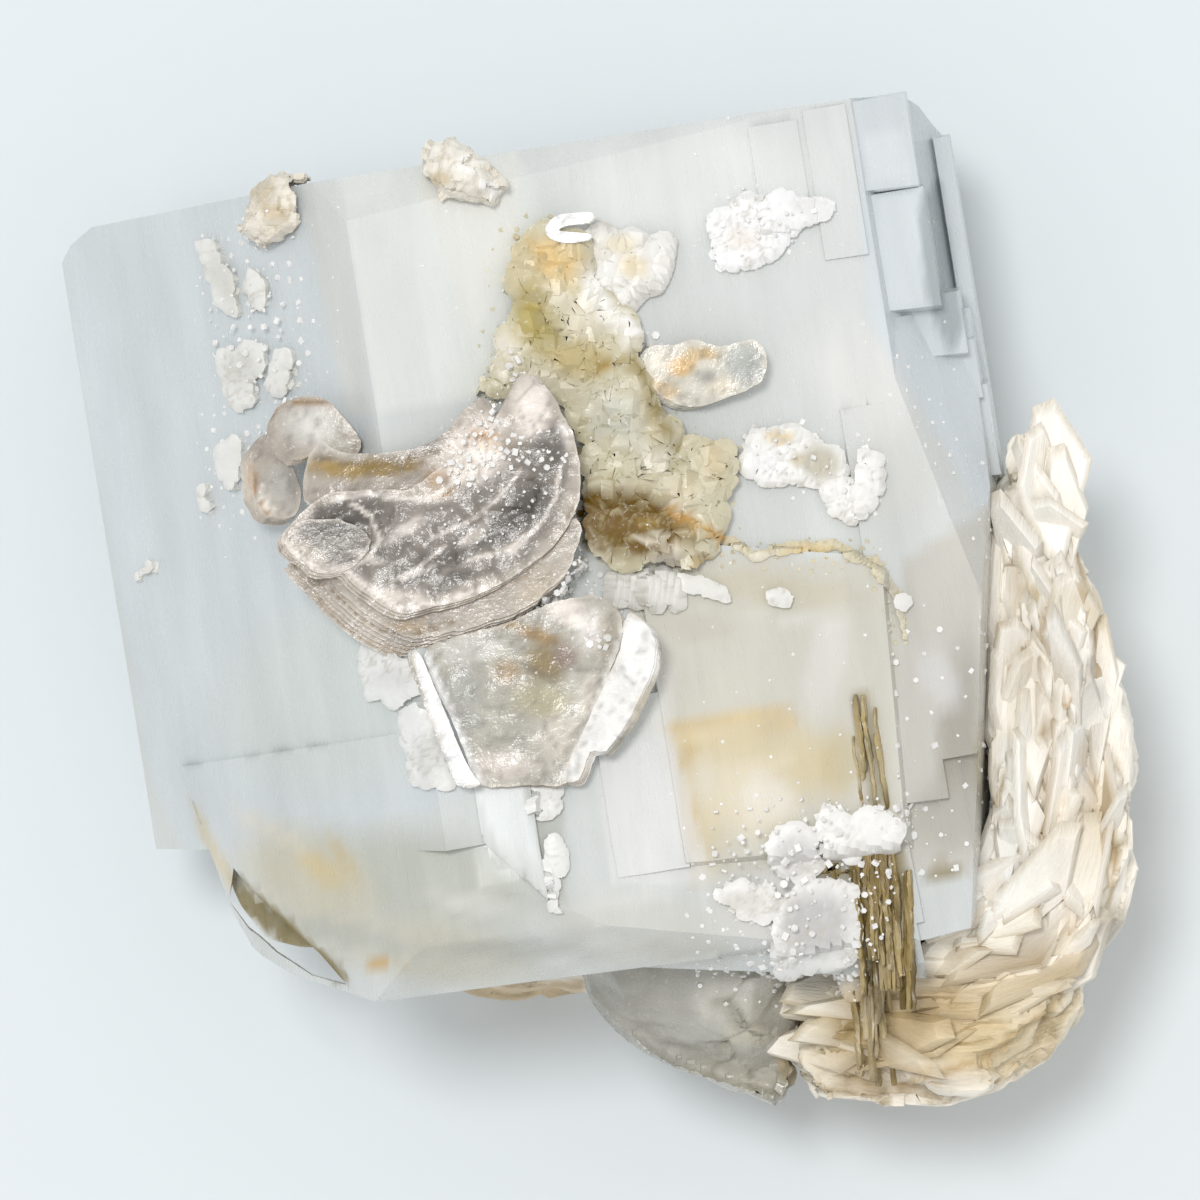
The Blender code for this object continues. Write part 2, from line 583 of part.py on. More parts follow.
CRUSTS = {
    # name: (outline, thickness, seed)
    "stained_ridge": ([(-5.3, 22.0), (-2.6, 22.4), (0.4, 17.8), (2.6, 15.4), (4.0, 11.8), (5.6, 8.8), (7.4, 4.4),
                       (6.2, 2.4), (2.6, 2.6), (-0.4, 3.2), (-0.8, 8.0), (-0.9, 12.0), (-4.4, 14.4), (-7.4, 12.4),
                       (-8.2, 12.2), (-5.8, 16.2)], 0.9, 21),
    "albite_top": ([(-3.3, 22.0), (-2.6, 23.2), (-0.4, 23.2), (0.2, 22.2), (3.6, 21.6), (4.0, 20.0), (3.7, 17.9),
                    (1.6, 16.9), (0.0, 17.6), (-0.8, 20.2)], 1.5, 22),
    "albite_patch": ([(6.6, 23.1), (7.6, 23.5), (8.4, 24.5), (9.2, 24.6), (10.0, 24.0), (12.4, 24.1), (13.6, 23.4),
                      (12.0, 22.2), (11.2, 21.0), (9.8, 20.3), (7.4, 19.9), (6.8, 20.8)], 0.8, 23),
    "albite_middle": ([(8.9, 10.2), (10.6, 10.2), (12.8, 9.9), (14.2, 8.6), (15.8, 6.8), (15.4, 5.3), (13.8, 5.7),
                       (12.6, 7.4), (10.4, 7.4), (8.9, 8.0)], 1.0, 24),
    "albite_lower": ([(6.6, -12.4), (9.6, -12.6), (13.0, -11.4), (14.8, -12.6), (14.6, -15.4), (13.6, -17.6),
                      (13.4, -20.0), (13.0, -23.4), (10.8, -24.6), (9.9, -21.6), (10.6, -18.6), (8.2, -16.8),
                      (6.0, -15.0)], 0.9, 25),
    "mica_tongue": ([(2.7, 14.9), (4.0, 15.3), (6.2, 15.3), (8.2, 15.7), (9.4, 15.3), (10.0, 14.2), (9.9, 12.9),
                     (8.8, 12.1), (6.6, 11.5), (4.6, 11.4), (3.2, 12.8)], 0.7, 26),
    "white_chips": ([(-23.7, 15.8), (-22.9, 20.8), (-21.6, 20.4), (-21.4, 17.2), (-19.2, 18.8), (-18.6, 14.6),
                     (-18.6, 12.8), (-21.4, 11.8), (-22.9, 13.6)], 0.8, 27),
    "mica_seam": ([(15.0, -15.4), (17.4, -15.6), (18.4, -19.5), (17.9, -24.8), (17.0, -28.8), (15.6, -29.0),
                   (14.6, -25.6), (14.2, -19.8)], 1.3, 30),
    "mica_cleft": ([(15.4, -7.6), (16.6, -7.4), (18.0, -11.0), (18.2, -14.8), (16.2, -14.8), (15.6, -11.0)], 0.7, 29),
    "side_chips": ([(-13.8, -3.4), (-12.2, -3.0), (-11.4, -4.2), (-11.8, -6.2), (-13.6, -5.6)], 0.9, 28),
}


def knob(name, outline, low, high, home, cutters, seed):
    """A small rounded feldspar crystal that stands on the top edge of the aquamarine."""
    lump = boulder(name, outline, low, high, home, cell=1.3, rough=0.28, dome=1.8, belly=0.8, seed=seed)
    return cut_by(lump, cutters)


def material(name, colour, roughness):
    made = bpy.data.materials.new(name)
    made.use_nodes = True
    shader = made.node_tree.nodes["Principled BSDF"]
    shader.inputs["Base Color"].default_value = (*colour, 1)
    shader.inputs["Roughness"].default_value = roughness
    shader.inputs["Metallic"].default_value = 0.0
    return made


def finish_piece(obj, home, finish):
    """Moves a solid from the workshop to the specimen, with its material."""
    for old in list(obj.users_collection):
        old.objects.unlink(obj)
    home.objects.link(obj)
    obj.data.materials.clear()
    obj.data.materials.append(finish)


def main():
    clear_scene()
    specimen = collection("aquamarine_on_feldspar")
    workshop = collection("workshop", hidden=True)
    finishes = {
        "beryl": material("beryl", (0.66, 0.75, 0.78), 0.15),
        "feldspar": material("feldspar", (0.86, 0.80, 0.66), 0.55),
        "quartz": material("quartz", (0.55, 0.53, 0.48), 0.25),
        "mica": material("mica", (0.55, 0.51, 0.45), 0.25),
        "albite": material("albite", (0.93, 0.91, 0.86), 0.6),
        "stain": material("stain", (0.72, 0.60, 0.33), 0.6),
    }
    aquamarine = build_aquamarine(workshop)
    socket = build_aquamarine(workshop, GAP)
    groove = curl_groove(workshop)
    combine(aquamarine, groove, "DIFFERENCE")
    remove(groove)

    feldspar = build_feldspar(workshop, [socket])
    around = [socket] + margins(feldspar, workshop)
    quartz = build_quartz(workshop, around)
    around += margins(quartz, workshop)
    upper_book = build_upper_book(workshop, [socket])
    lower_book = build_lower_book(workshop, [socket] + margins(upper_book, workshop))
    around += margins(upper_book, workshop) + margins(lower_book, workshop)
    made = {
        "beryl": [aquamarine],
        "feldspar": [feldspar],
        "quartz": [quartz],
        "mica": [upper_book, lower_book],
        "albite": [],
        "stain": [],
    }

    grounds = [surface_of(cutter) for cutter in around]
    for name, (outline, thick, seed) in CRUSTS.items():
        lump = crust(name, outline, thick, grounds, workshop, around, seed=seed)
        around += margins(lump, workshop)
        kind = "mica" if name.startswith("mica") else "stain" if name == "stained_ridge" else "albite"
        made[kind].append(lump)

    left_knob = [(-21.6, 22.2), (-20.8, 24.6), (-19.2, 25.9), (-17.4, 25.6), (-16.8, 24.0), (-17.6, 21.8), (-20.2, 21.0)]
    top_knob = [(-10.8, 25.6), (-10.4, 27.4), (-8.7, 27.8), (-6.9, 26.4), (-5.5, 24.8), (-6.4, 23.6), (-9.4, 23.8)]
    made["feldspar"].append(knob("feldspar_knob_left", left_knob, 24.0, 34.6, workshop, around, 31))
    made["feldspar"].append(knob("feldspar_knob_top", top_knob, 30.0, 38.4, workshop, around, 32))

    for kind, pieces in made.items():
        for piece in pieces:
            finish_piece(piece, specimen, finishes[kind])
    for cutter in list(workshop.objects):
        remove(cutter)


main()
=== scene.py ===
# %% [markdown]
# # An aquamarine on feldspar
# A milky, pale blue-green beryl prism lies on cream feldspar. Books of muscovite mica, crusts of albite and
# a ridge stained by iron have grown on its front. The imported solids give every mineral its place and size.
# This script gives each of them its real surface, one cell at a time.

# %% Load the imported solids
import itertools
import math

import bmesh
import bpy
import numpy as np
from mathutils import Matrix, Vector
from mathutils.bvhtree import BVHTree


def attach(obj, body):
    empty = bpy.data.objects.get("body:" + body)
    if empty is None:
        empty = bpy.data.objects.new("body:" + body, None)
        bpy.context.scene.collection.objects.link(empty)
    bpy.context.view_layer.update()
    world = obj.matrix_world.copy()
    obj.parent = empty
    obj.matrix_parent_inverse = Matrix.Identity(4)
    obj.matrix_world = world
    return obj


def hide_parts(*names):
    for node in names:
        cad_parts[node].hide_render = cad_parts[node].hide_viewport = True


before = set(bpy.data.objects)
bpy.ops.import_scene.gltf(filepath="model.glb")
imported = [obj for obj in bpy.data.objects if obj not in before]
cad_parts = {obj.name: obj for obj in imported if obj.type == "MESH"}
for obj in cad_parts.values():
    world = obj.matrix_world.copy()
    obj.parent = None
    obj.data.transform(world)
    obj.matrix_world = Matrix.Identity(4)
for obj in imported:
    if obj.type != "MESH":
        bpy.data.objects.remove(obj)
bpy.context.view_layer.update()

MM = 0.001
print("solids:", sorted(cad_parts))

# %% [markdown]
# ## The camera
# The specimen lies on its back and is seen from straight above through a long lens, which keeps its edges
# parallel. The camera comes first because the outlines are given in points of the picture: `lay`
# follows the line of sight through such a point down to the mineral that lies under it.

# %% Camera and lines of sight
EYE = Vector((0.0, 0.0, 0.833))
POINT_WIDTH = 0.00006
POINT_MM = 0.06
MIDDLE_POINT = 600
SHARP_HEIGHT = 0.033
MERGE_DISTANCE = 0.000002

camera = bpy.data.objects.new("camera", bpy.data.cameras.new("camera"))
bpy.context.scene.collection.objects.link(camera)
camera.location = EYE
camera.data.lens = 400
camera.data.sensor_width = 36
camera.data.clip_start = 0.05
bpy.context.scene.camera = camera


def at(x, y, height=33.0):
    """Where the line of sight through a picture point reaches a height, given in millimetres."""
    near = Vector(((x - MIDDLE_POINT) * POINT_WIDTH, (MIDDLE_POINT - y) * POINT_WIDTH, SHARP_HEIGHT))
    return EYE + (near - EYE) * ((EYE.z - height * MM) / (EYE.z - SHARP_HEIGHT))


def surface_of(names):
    """A search tree of some solids' faces."""
    points, faces = [], []
    for name in names:
        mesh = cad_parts[name].data
        start = len(points)
        points += [v.co.copy() for v in mesh.vertices]
        faces += [[start + i for i in p.vertices] for p in mesh.polygons]
    return BVHTree.FromPolygons(points, faces)


ground = surface_of(["aquamarine", "feldspar_matrix", "quartz"])
everything = surface_of(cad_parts)


def lay(x, y, carrier=ground):
    """The surface point and outward normal that a picture point shows."""
    place, normal, _, _ = carrier.ray_cast(EYE, (at(x, y) - EYE).normalized())
    if place is None:
        place, normal, _, _ = carrier.find_nearest(at(x, y, 18.0))
    return place, normal


# %% [markdown]
# ## Light
# A soft sun stands almost overhead, a little to the upper left, so the shadow falls short and soft to the
# lower right. The surroundings are pale and dimmer near the horizon, which leaves the steep left face a
# tone darker.

# %% Light, surroundings and floor
def linear(colour):
    """An sRGB hex colour as linear red, green, blue and alpha."""
    parts = [int(colour[i : i + 2], 16) / 255 for i in (1, 3, 5)]
    return [p / 12.92 if p <= 0.04045 else ((p + 0.055) / 1.055) ** 2.4 for p in parts] + [1.0]


def node(tree, kind, inputs=None, **settings):
    """Adds a node with its settings; each input is a value or a socket to link."""
    made = tree.nodes.new(kind)
    for name, value in settings.items():
        setattr(made, name, value)
    for name, value in (inputs or {}).items():
        if isinstance(value, bpy.types.NodeSocket):
            tree.links.new(value, made.inputs[name])
        else:
            made.inputs[name].default_value = value
    return made


KEY_STRENGTH = 1.25
KEY_FROM = Vector((-0.15, 0.18, 1.0))
KEY_SPREAD = 0.20
ZENITH = 0.80
HORIZON = 0.50
BACKDROP = 0.86

key = bpy.data.objects.new("key", bpy.data.lights.new("key", "SUN"))
bpy.context.scene.collection.objects.link(key)
key.data.energy = KEY_STRENGTH
key.data.angle = KEY_SPREAD
key.rotation_euler = KEY_FROM.to_track_quat("Z", "Y").to_euler()

world = bpy.data.worlds.new("studio")
bpy.context.scene.world = world
world.use_nodes = True
sky = world.node_tree
sky.nodes.clear()
direction = node(sky, "ShaderNodeTexCoord")
height = node(sky, "ShaderNodeSeparateXYZ", {0: direction.outputs["Generated"]})
rise = node(sky, "ShaderNodeMapRange", {0: height.outputs["Z"], 1: 0.0, 2: 0.9, 3: HORIZON, 4: ZENITH},
            interpolation_type="SMOOTHSTEP")
seen = node(sky, "ShaderNodeLightPath")
strength = node(sky, "ShaderNodeMix", {0: seen.outputs["Is Camera Ray"], 2: rise.outputs[0], 3: BACKDROP},
                data_type="FLOAT")
glow = node(sky, "ShaderNodeBackground", {"Color": linear("#fdfdfd"), "Strength": strength.outputs[0]})
node(sky, "ShaderNodeOutputWorld", {"Surface": glow.outputs[0]})

bpy.context.scene.view_settings.view_transform = "Standard"

bpy.ops.mesh.primitive_plane_add(size=6.0, location=(0, 0, 0))
floor = bpy.context.object
floor.name = "floor"
paper = bpy.data.materials.new("matte_paper")
paper.use_nodes = True
for socket, value in (("Base Color", linear("#e2e8eb")), ("Roughness", 0.95), ("Specular IOR Level", 0.1)):
    paper.node_tree.nodes["Principled BSDF"].inputs[socket].default_value = value
floor.data.materials.append(paper)

# %% [markdown]
# ## Tools for rough surfaces
# Every broken or grown surface here comes from the same few helpers. `cloud` gives smooth lumps and `cells`
# gives the flat, tilted facets of grains that grew against each other. The rest draw an outline, cut a
# patch of mesh from it, and turn modifiers into a plain mesh.

# %% Lumps and facets
# Uneven factors that mix a cell's whole numbers into one or three numbers that look random.
MIX_ONE = np.array([127.1, 311.7, 74.7])
MIX_THREE = np.array([[127.1, 269.5, 113.5], [311.7, 183.3, 271.9], [74.7, 246.1, 124.6]])
MIX_SEED = 17.31
MIX_SPREAD = 43758.5453


def cloud(places, size, seed=0, octaves=2):
    """Smooth noise from -1 to 1 at each place. size is the width of its blobs, one number or one for each
    axis."""
    points = np.asarray(places, float) / np.asarray(size, float)
    total, weight, whole = np.zeros(len(points)), 1.0, 0.0
    for _ in range(octaves):
        cell = np.floor(points)
        part = points - cell
        part = part * part * (3 - 2 * part)
        value = np.zeros(len(points))
        for corner in itertools.product((0, 1), repeat=3):
            mixed = (cell + corner) @ MIX_ONE + seed * MIX_SEED
            share = np.where(np.array(corner) == 1, part, 1 - part).prod(axis=1)
            value += share * np.modf(np.abs(np.sin(mixed) * MIX_SPREAD))[0]
        total += weight * (2 * value - 1)
        whole += weight
        weight *= 0.5
        points = points * 2.03 + 7.7
    return total / whole


def dice(cell, seed):
    """Three random numbers from 0 to 1 for each whole-numbered cell."""
    return np.modf(np.abs(np.sin(cell @ MIX_THREE + seed * MIX_SEED) * MIX_SPREAD))[0]


def cells(places, size, seed=0):
    """The uneven grain that each place falls in: three random numbers for it, the offset from its middle,
    and how near the place is to the grain's border, from 0 on it."""
    points = np.asarray(places, float) / np.asarray(size, float)
    home = np.floor(points)
    best, second = np.full(len(points), 9.0), np.full(len(points), 9.0)
    chance, offset = np.zeros((len(points), 3)), np.zeros((len(points), 3))
    for corner in itertools.product((-1, 0, 1), repeat=3):
        cell = home + corner
        away = points - cell - dice(cell, seed)
        distance = np.linalg.norm(away, axis=1)
        nearer = distance < best
        second = np.where(nearer, best, np.minimum(second, distance))
        best = np.where(nearer, distance, best)
        chance[nearer] = dice(cell[nearer], seed + 5)
        offset[nearer] = away[nearer]
    return chance, offset, second - best


def facets(places, size, seed=0, tilt=1.0):
    """Heights from about -1 to 1 that make flat grains, each at its own height and slope."""
    chance, offset, border = cells(places, size, seed)
    return (chance[:, 0] - 0.5) * 1.2 + (offset * (chance - 0.5) * 2 * tilt).sum(axis=1), border


def soft_step(value, low, high):
    """0 below low, 1 above high, and an easy curve between."""
    share = np.clip((np.asarray(value, float) - low) / (high - low), 0, 1)
    return share * share * (3 - 2 * share)


# %% Outlines
def smooth_outline(points, per_side=4):
    """A closed curve through the points, as a denser list of points."""
    count = len(points)
    found = []
    for i in range(count):
        p0, p1, p2, p3 = (np.array(points[(i + k) % count], float) for k in (-1, 0, 1, 2))
        for step in range(per_side):
            t = step / per_side
            found.append(0.5 * (2 * p1 + (p2 - p0) * t + (2 * p0 - 5 * p1 + 4 * p2 - p3) * t**2
                                + (3 * p1 - p0 - 3 * p2 + p3) * t**3))
    return found


def ragged(points, amount, seed, spacing=4.0):
    """The outline cut into short sides, each corner pushed by noise."""
    dense = []
    for i, start in enumerate(points):
        a, b = np.array(start, float), np.array(points[(i + 1) % len(points)], float)
        parts = max(1, int(np.linalg.norm(b - a) / spacing))
        dense += [a + (b - a) * k / parts for k in range(parts)]
    flat = np.c_[np.array(dense), np.full(len(dense), seed * 3.3)]
    for part, (size, share) in enumerate(((16.0, 1.0), (5.0, 0.6))):
        for axis in (0, 1):
            flat[:, axis] += cloud(flat, size, seed + 7 * part + axis, 1) * amount * share
    return [tuple(p[:2]) for p in flat]


def edge_distance(places, outline):
    """How far each flat place lies from the outline."""
    best = np.full(len(places), 1e9)
    for i, start in enumerate(outline):
        a, b = np.array(start, float), np.array(outline[(i + 1) % len(outline)], float)
        side = b - a
        along = np.clip(((places - a) @ side) / max(side @ side, 1e-12), 0, 1)
        best = np.minimum(best, np.linalg.norm(places - a - along[:, None] * side, axis=1))
    return best


def inside(places, outline):
    """Which flat places lie inside the outline."""
    x, y = places.T
    within = np.zeros(len(places), bool)
    for i, (x0, y0) in enumerate(outline):
        x1, y1 = outline[(i + 1) % len(outline)]
        if y0 != y1:
            within ^= ((y0 > y) != (y1 > y)) & (x < (x1 - x0) * (y - y0) / (y1 - y0) + x0)
    return within


def flat_patch(outline, step):
    """A flat mesh inside an outline, cut into cells about step wide."""
    bm = bmesh.new()
    bm.faces.new([bm.verts.new((x, y, 0)) for x, y in outline])
    for axis in (0, 1):
        places = [p[axis] for p in outline]
        normal = Vector((1 - axis, axis, 0))
        cuts = max(1, int((max(places) - min(places)) / step))
        for i in range(1, cuts):
            place = min(places) + (max(places) - min(places)) * i / cuts
            bmesh.ops.bisect_plane(bm, geom=bm.verts[:] + bm.edges[:] + bm.faces[:],
                                   plane_co=normal * place, plane_no=normal)
    return bm


# %% Finished pieces
def bare(name, bm):
    """A new object at the origin from a bmesh in metres."""
    mesh = bpy.data.meshes.new(name)
    bm.to_mesh(mesh)
    bm.free()
    made = bpy.data.objects.new(name, mesh)
    bpy.context.scene.collection.objects.link(made)
    return made


def places_of(obj):
    """The object's points in millimetres, as an array."""
    found = np.empty(len(obj.data.vertices) * 3, np.float32)
    obj.data.vertices.foreach_get("co", found)
    return found.reshape(-1, 3).astype(float) / MM


def move_points(obj, places):
    """Writes the object's points back, from millimetres."""
    obj.data.vertices.foreach_set("co", (np.asarray(places) * MM).astype(np.float32).ravel())
    obj.data.update()


def normals_of(obj):
    """The outward direction at each of the object's points."""
    found = np.empty(len(obj.data.vertices) * 3, np.float32)
    obj.data.vertices.foreach_get("normal", found)
    return found.reshape(-1, 3).astype(float)


def seen_at(places):
    """Where each place, in millimetres, appears in the picture."""
    share = (EYE.z - SHARP_HEIGHT) / (EYE.z - places[:, 2] * MM)
    return np.c_[places[:, 0] * MM * share / POINT_WIDTH + MIDDLE_POINT,
                 MIDDLE_POINT - places[:, 1] * MM * share / POINT_WIDTH]


def store(obj, name, values):
    """Stores one number for each point, which a material can read by that name."""
    layer = obj.data.attributes.get(name) or obj.data.attributes.new(name, "FLOAT", "POINT")
    layer.data.foreach_set("value", np.asarray(values, np.float32))


def store_vectors(obj, name, values):
    """Stores three numbers for each point, which a material can read by that name."""
    layer = obj.data.attributes.get(name) or obj.data.attributes.new(name, "FLOAT_VECTOR", "POINT")
    layer.data.foreach_set("vector", np.asarray(values, np.float32).ravel())


def settle(obj):
    """Turns the object's modifiers into a plain mesh."""
    bpy.context.view_layer.update()
    mesh = bpy.data.meshes.new_from_object(obj.evaluated_get(bpy.context.evaluated_depsgraph_get()))
    obj.modifiers.clear()
    obj.data = mesh
    return obj


def finish(obj, material, replaces=(), sharp=35):
    """Gives the piece its material, fixes it to the specimen and shades it."""
    obj.data.materials.clear()
    obj.data.materials.append(material)
    obj.data.shade_smooth()
    obj.data.set_sharp_from_angle(angle=math.radians(sharp))
    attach(obj, "root")
    if replaces:
        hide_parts(*replaces)
    print(obj.name, len(obj.data.vertices), "points")


def join(name, objects):
    """One object from several."""
    bpy.ops.object.select_all(action="DESELECT")
    for obj in objects:
        obj.select_set(True)
    bpy.context.view_layer.objects.active = objects[0]
    bpy.ops.object.join()
    objects[0].name = name
    return objects[0]


# %% [markdown]
# ## Colour
# A mineral's colour doesn't follow a rule: iron stains one corner, frost another. So each piece is painted
# like a model railway rock, with soft strokes over one base colour. A stroke is an ellipse, an outline or a
# line in picture points, its edge is shifted by noise, and the result is kept as a colour on each point of
# the mesh.

# %% The brush
C_AXIS_LEAN = math.radians(9.1)


def crystal_frame(places):
    """Across, along and up coordinates of the crystal, in millimetres."""
    x, y, z = np.asarray(places).T
    cos, sin = math.cos(C_AXIS_LEAN), math.sin(C_AXIS_LEAN)
    return np.stack([x * cos + y * sin, -x * sin + y * cos, z], axis=1)


def painted(obj, base, strokes, seed=0, warp=6.0, front_only=False, veil=0.0, tint=1.0):
    """Paints strokes over a base colour. A stroke is (colour, strength, x, y, half width, half height, turn
    in degrees) or (colour, strength, outline, softness); a negative softness draws the points as a line
    that wide. veil is the strength of cloudy light and dark parts, and tint a factor for each point."""
    places = places_of(obj)
    spots = seen_at(places)
    shift = np.c_[cloud(places, 2.2, seed + 1, 3), cloud(places, 2.2, seed + 2, 3)] * warp
    shift += np.c_[cloud(places, 0.45, seed + 3), cloud(places, 0.45, seed + 4)] * warp * 0.5
    colour = np.tile(linear(base)[:3], (len(places), 1))
    facing = soft_step(normals_of(obj)[:, 2], -0.15, 0.25) if front_only else 1.0
    for tone, strong, *shape in strokes:
        if len(shape) == 2 and shape[1] < 0:
            line, wide = shape[0], -shape[1]
            away = np.full(len(places), 99.0)
            for start, end in zip(line, line[1:]):
                away = np.minimum(away, edge_distance(spots + shift * 0.5, [start, end]))
            share = 1 - soft_step(away, wide * 0.3, wide)
        elif len(shape) == 2:
            outline, soft = shape
            low, high = np.min(outline, axis=0) - soft - 20, np.max(outline, axis=0) + soft + 20
            share = np.zeros(len(places))
            near = ((spots > low) & (spots < high)).all(axis=1)
            moved = spots[near] + shift[near] * min(1.0, soft / 6)
            depth = edge_distance(moved, outline) * np.where(inside(moved, outline), 1, -1)
            share[near] = soft_step(depth, -soft, soft)
        else:
            x, y, wide, tall, turn = shape
            away = spots + shift - (x, y)
            cos, sin = math.cos(math.radians(turn)), math.sin(math.radians(turn))
            across = (away[:, 0] * cos + away[:, 1] * sin) / wide
            along = (away[:, 1] * cos - away[:, 0] * sin) / tall
            share = 1 - soft_step(np.hypot(across, along), 0.4, 1.15)
        share = (share * strong * facing)[:, None]
        colour = colour * (1 - share) + np.array(linear(tone)[:3]) * share
    colour = colour * (1 + veil * cloud(crystal_frame(places), (3.5, 7.0, 3.5), seed + 9, 4))[:, None] * tint
    store_vectors(obj, "painted", colour)


# %% [markdown]
# ## Finishes
# Each mineral gets one material. The paint gives the colour, and the material adds what is too fine for the
# mesh: the mottling inside the mineral, dirt and painted shade in its creases, its relief and its gloss.

# %% One recipe for the minerals
def mineral(name, roughness, grain, mottle=0.10, relief=0.4, depth=0.0001, length=(1, 1, 1), crease=None,
            rim=None,
            specks=0.0, ior=1.53, clear=0.0, absorbs=None, gain=1.0, follow=None):
    """grain is noise per metre, length how far it is drawn out along each axis of the crystal, and depth
    the height of the relief in metres. crease and rim are colours for the stored numbers of those names.
    clear is the share of light that passes through, and gain lifts the paint to make up for it. follow
    names stored coordinates that the pattern keeps to."""
    made = bpy.data.materials.new(name)
    made.use_nodes = True
    tree = made.node_tree
    shader, output = tree.nodes["Principled BSDF"], tree.nodes["Material Output"]
    coords = node(tree, "ShaderNodeTexCoord").outputs["Object"]
    if follow:
        coords = node(tree, "ShaderNodeAttribute", attribute_name=follow).outputs["Vector"]
    lines = node(tree, "ShaderNodeMapping",
                 {"Vector": coords, "Rotation": (0, 0, C_AXIS_LEAN), "Scale": length},
                 vector_type="TEXTURE")
    tone = node(tree, "ShaderNodeTexNoise", {"Vector": lines.outputs[0], "Scale": grain, "Detail": 6.0,
                                             "Roughness": 0.62, "Distortion": 0.4})
    light = node(tree, "ShaderNodeMapRange",
                 {0: tone.outputs["Fac"], 1: 0.3, 2: 0.7, 3: gain * (1 - mottle),
                  4: gain * (1 + mottle * 0.5)})
    paint = node(tree, "ShaderNodeAttribute", attribute_name="painted")
    colour = node(tree, "ShaderNodeVectorMath", {0: paint.outputs["Color"], "Scale": light.outputs[0]},
                  operation="SCALE").outputs[0]
    fine = node(tree, "ShaderNodeTexNoise", {"Vector": lines.outputs[0], "Scale": grain * 5, "Detail": 3.0,
                                             "Roughness": 0.65})
    # The crease colour darkens cracks and grain borders as painted shade, and as brown dirt in the feldspar.
    for stored, tint in (("crease", crease), ("rim", rim)):
        if tint:
            mask = node(tree, "ShaderNodeAttribute", attribute_name=stored).outputs["Fac"]
            broken = node(tree, "ShaderNodeMapRange",
                          {0: fine.outputs["Fac"], 1: 0.35, 2: 0.6, 3: 0.55, 4: 1.0})
            share = node(tree, "ShaderNodeMath", {0: mask, 1: broken.outputs[0]}, operation="MULTIPLY",
                         use_clamp=True)
            colour = node(tree, "ShaderNodeMix", {0: share.outputs[0], 6: colour, 7: linear(tint)},
                          data_type="RGBA").outputs[2]
    if specks:
        dots = node(tree, "ShaderNodeTexNoise",
                    {"Vector": coords, "Scale": 2600.0, "Detail": 2.0, "Roughness": 0.8})
        bright = node(tree, "ShaderNodeMapRange",
                      {0: dots.outputs["Fac"], 1: 0.63, 2: 0.70, 3: 0.0, 4: specks})
        colour = node(tree, "ShaderNodeMix", {0: bright.outputs[0], 6: colour, 7: linear("#fffdf8")},
                      data_type="RGBA").outputs[2]
    tree.links.new(colour, shader.inputs["Base Color"])
    bump = node(tree, "ShaderNodeBump",
                {"Height": fine.outputs["Fac"], "Strength": relief, "Distance": depth})
    tree.links.new(bump.outputs[0], shader.inputs["Normal"])
    shine = node(tree, "ShaderNodeMapRange", {0: fine.outputs["Fac"], 1: 0.3, 2: 0.7, 3: roughness - 0.08,
                                              4: roughness + 0.08})
    tree.links.new(shine.outputs[0], shader.inputs["Roughness"])
    shader.inputs["IOR"].default_value = ior
    shader.inputs["Transmission Weight"].default_value = clear
    if absorbs:
        deep = node(tree, "ShaderNodeVolumeAbsorption", {"Color": linear(absorbs[0]), "Density": absorbs[1]})
        tree.links.new(deep.outputs[0], output.inputs["Volume"])
    return made


# %% The minerals
# Beryl, natural prism faces: clear but milky with fine inclusions, so part of the light passes and part
# scatters.
BERYL = mineral("milky_aquamarine_beryl", 0.30, 170.0, 0.05, 0.10, 0.00008, (0.35, 3.0, 0.35), ior=1.577,
                clear=0.16,
                absorbs=("#cfe8ec", 9.0), gain=1.12)
# Potassium feldspar, broken along its cleavage: satin plates with dirt and painted shade in the cracks
# between them.
FELDSPAR = mineral("cleaved_feldspar", 0.42, 0.8, 0.12, 0.6, 0.00016, (0.5, 5.0, 0.8), crease="#a8946a",
                   follow="way", gain=1.08)
# Quartz, broken: grey, cloudy and glassy.
QUARTZ = mineral("cloudy_grey_quartz", 0.28, 300.0, 0.14, 0.4, 0.00014, crease="#8f8a76", specks=0.25,
                 ior=1.545,
                 clear=0.20, gain=1.22)
# Albite, sugary crystals: nearly white, each grain a little translucent.
ALBITE = mineral("sugary_albite", 0.40, 900.0, 0.06, 0.3, 0.00006, crease="#cdc7ba", clear=0.10, gain=1.03)
# Iron oxide that has soaked a crust of small grains.
STAINED = mineral("iron_stained_crust", 0.36, 420.0, 0.12, 0.4, 0.0001, crease="#bfb38a", specks=0.4,
                  clear=0.12, gain=1.12)
# Muscovite: thin glossy leaves that split cleanly, pearly on the face and bright at their edges.
MICA = mineral("muscovite_leaves", 0.26, 420.0, 0.24, 0.5, 0.00014, crease="#7d7770", rim="#f6ecdf",
               specks=0.6,
               ior=1.58, clear=0.10, gain=1.12)
SEAM = mineral("brown_mica_leaves", 0.30, 600.0, 0.28, 0.5, 0.00014, (0.4, 3.0, 1.0), rim="#bfa972",
               specks=0.12,
               ior=1.58)

# %% [markdown]
# ## The aquamarine
# The crystal keeps the flat faces of its solid. A copy is cut by planes into narrow strips along its
# length, and the strips move in and out by a few hundredths of a millimetre, and by a tenth or so where the
# crystal is stepped or frosty, as the fine lines on natural prism faces do. Planes rather than a remesh,
# because a remesh would round its crisp edges.

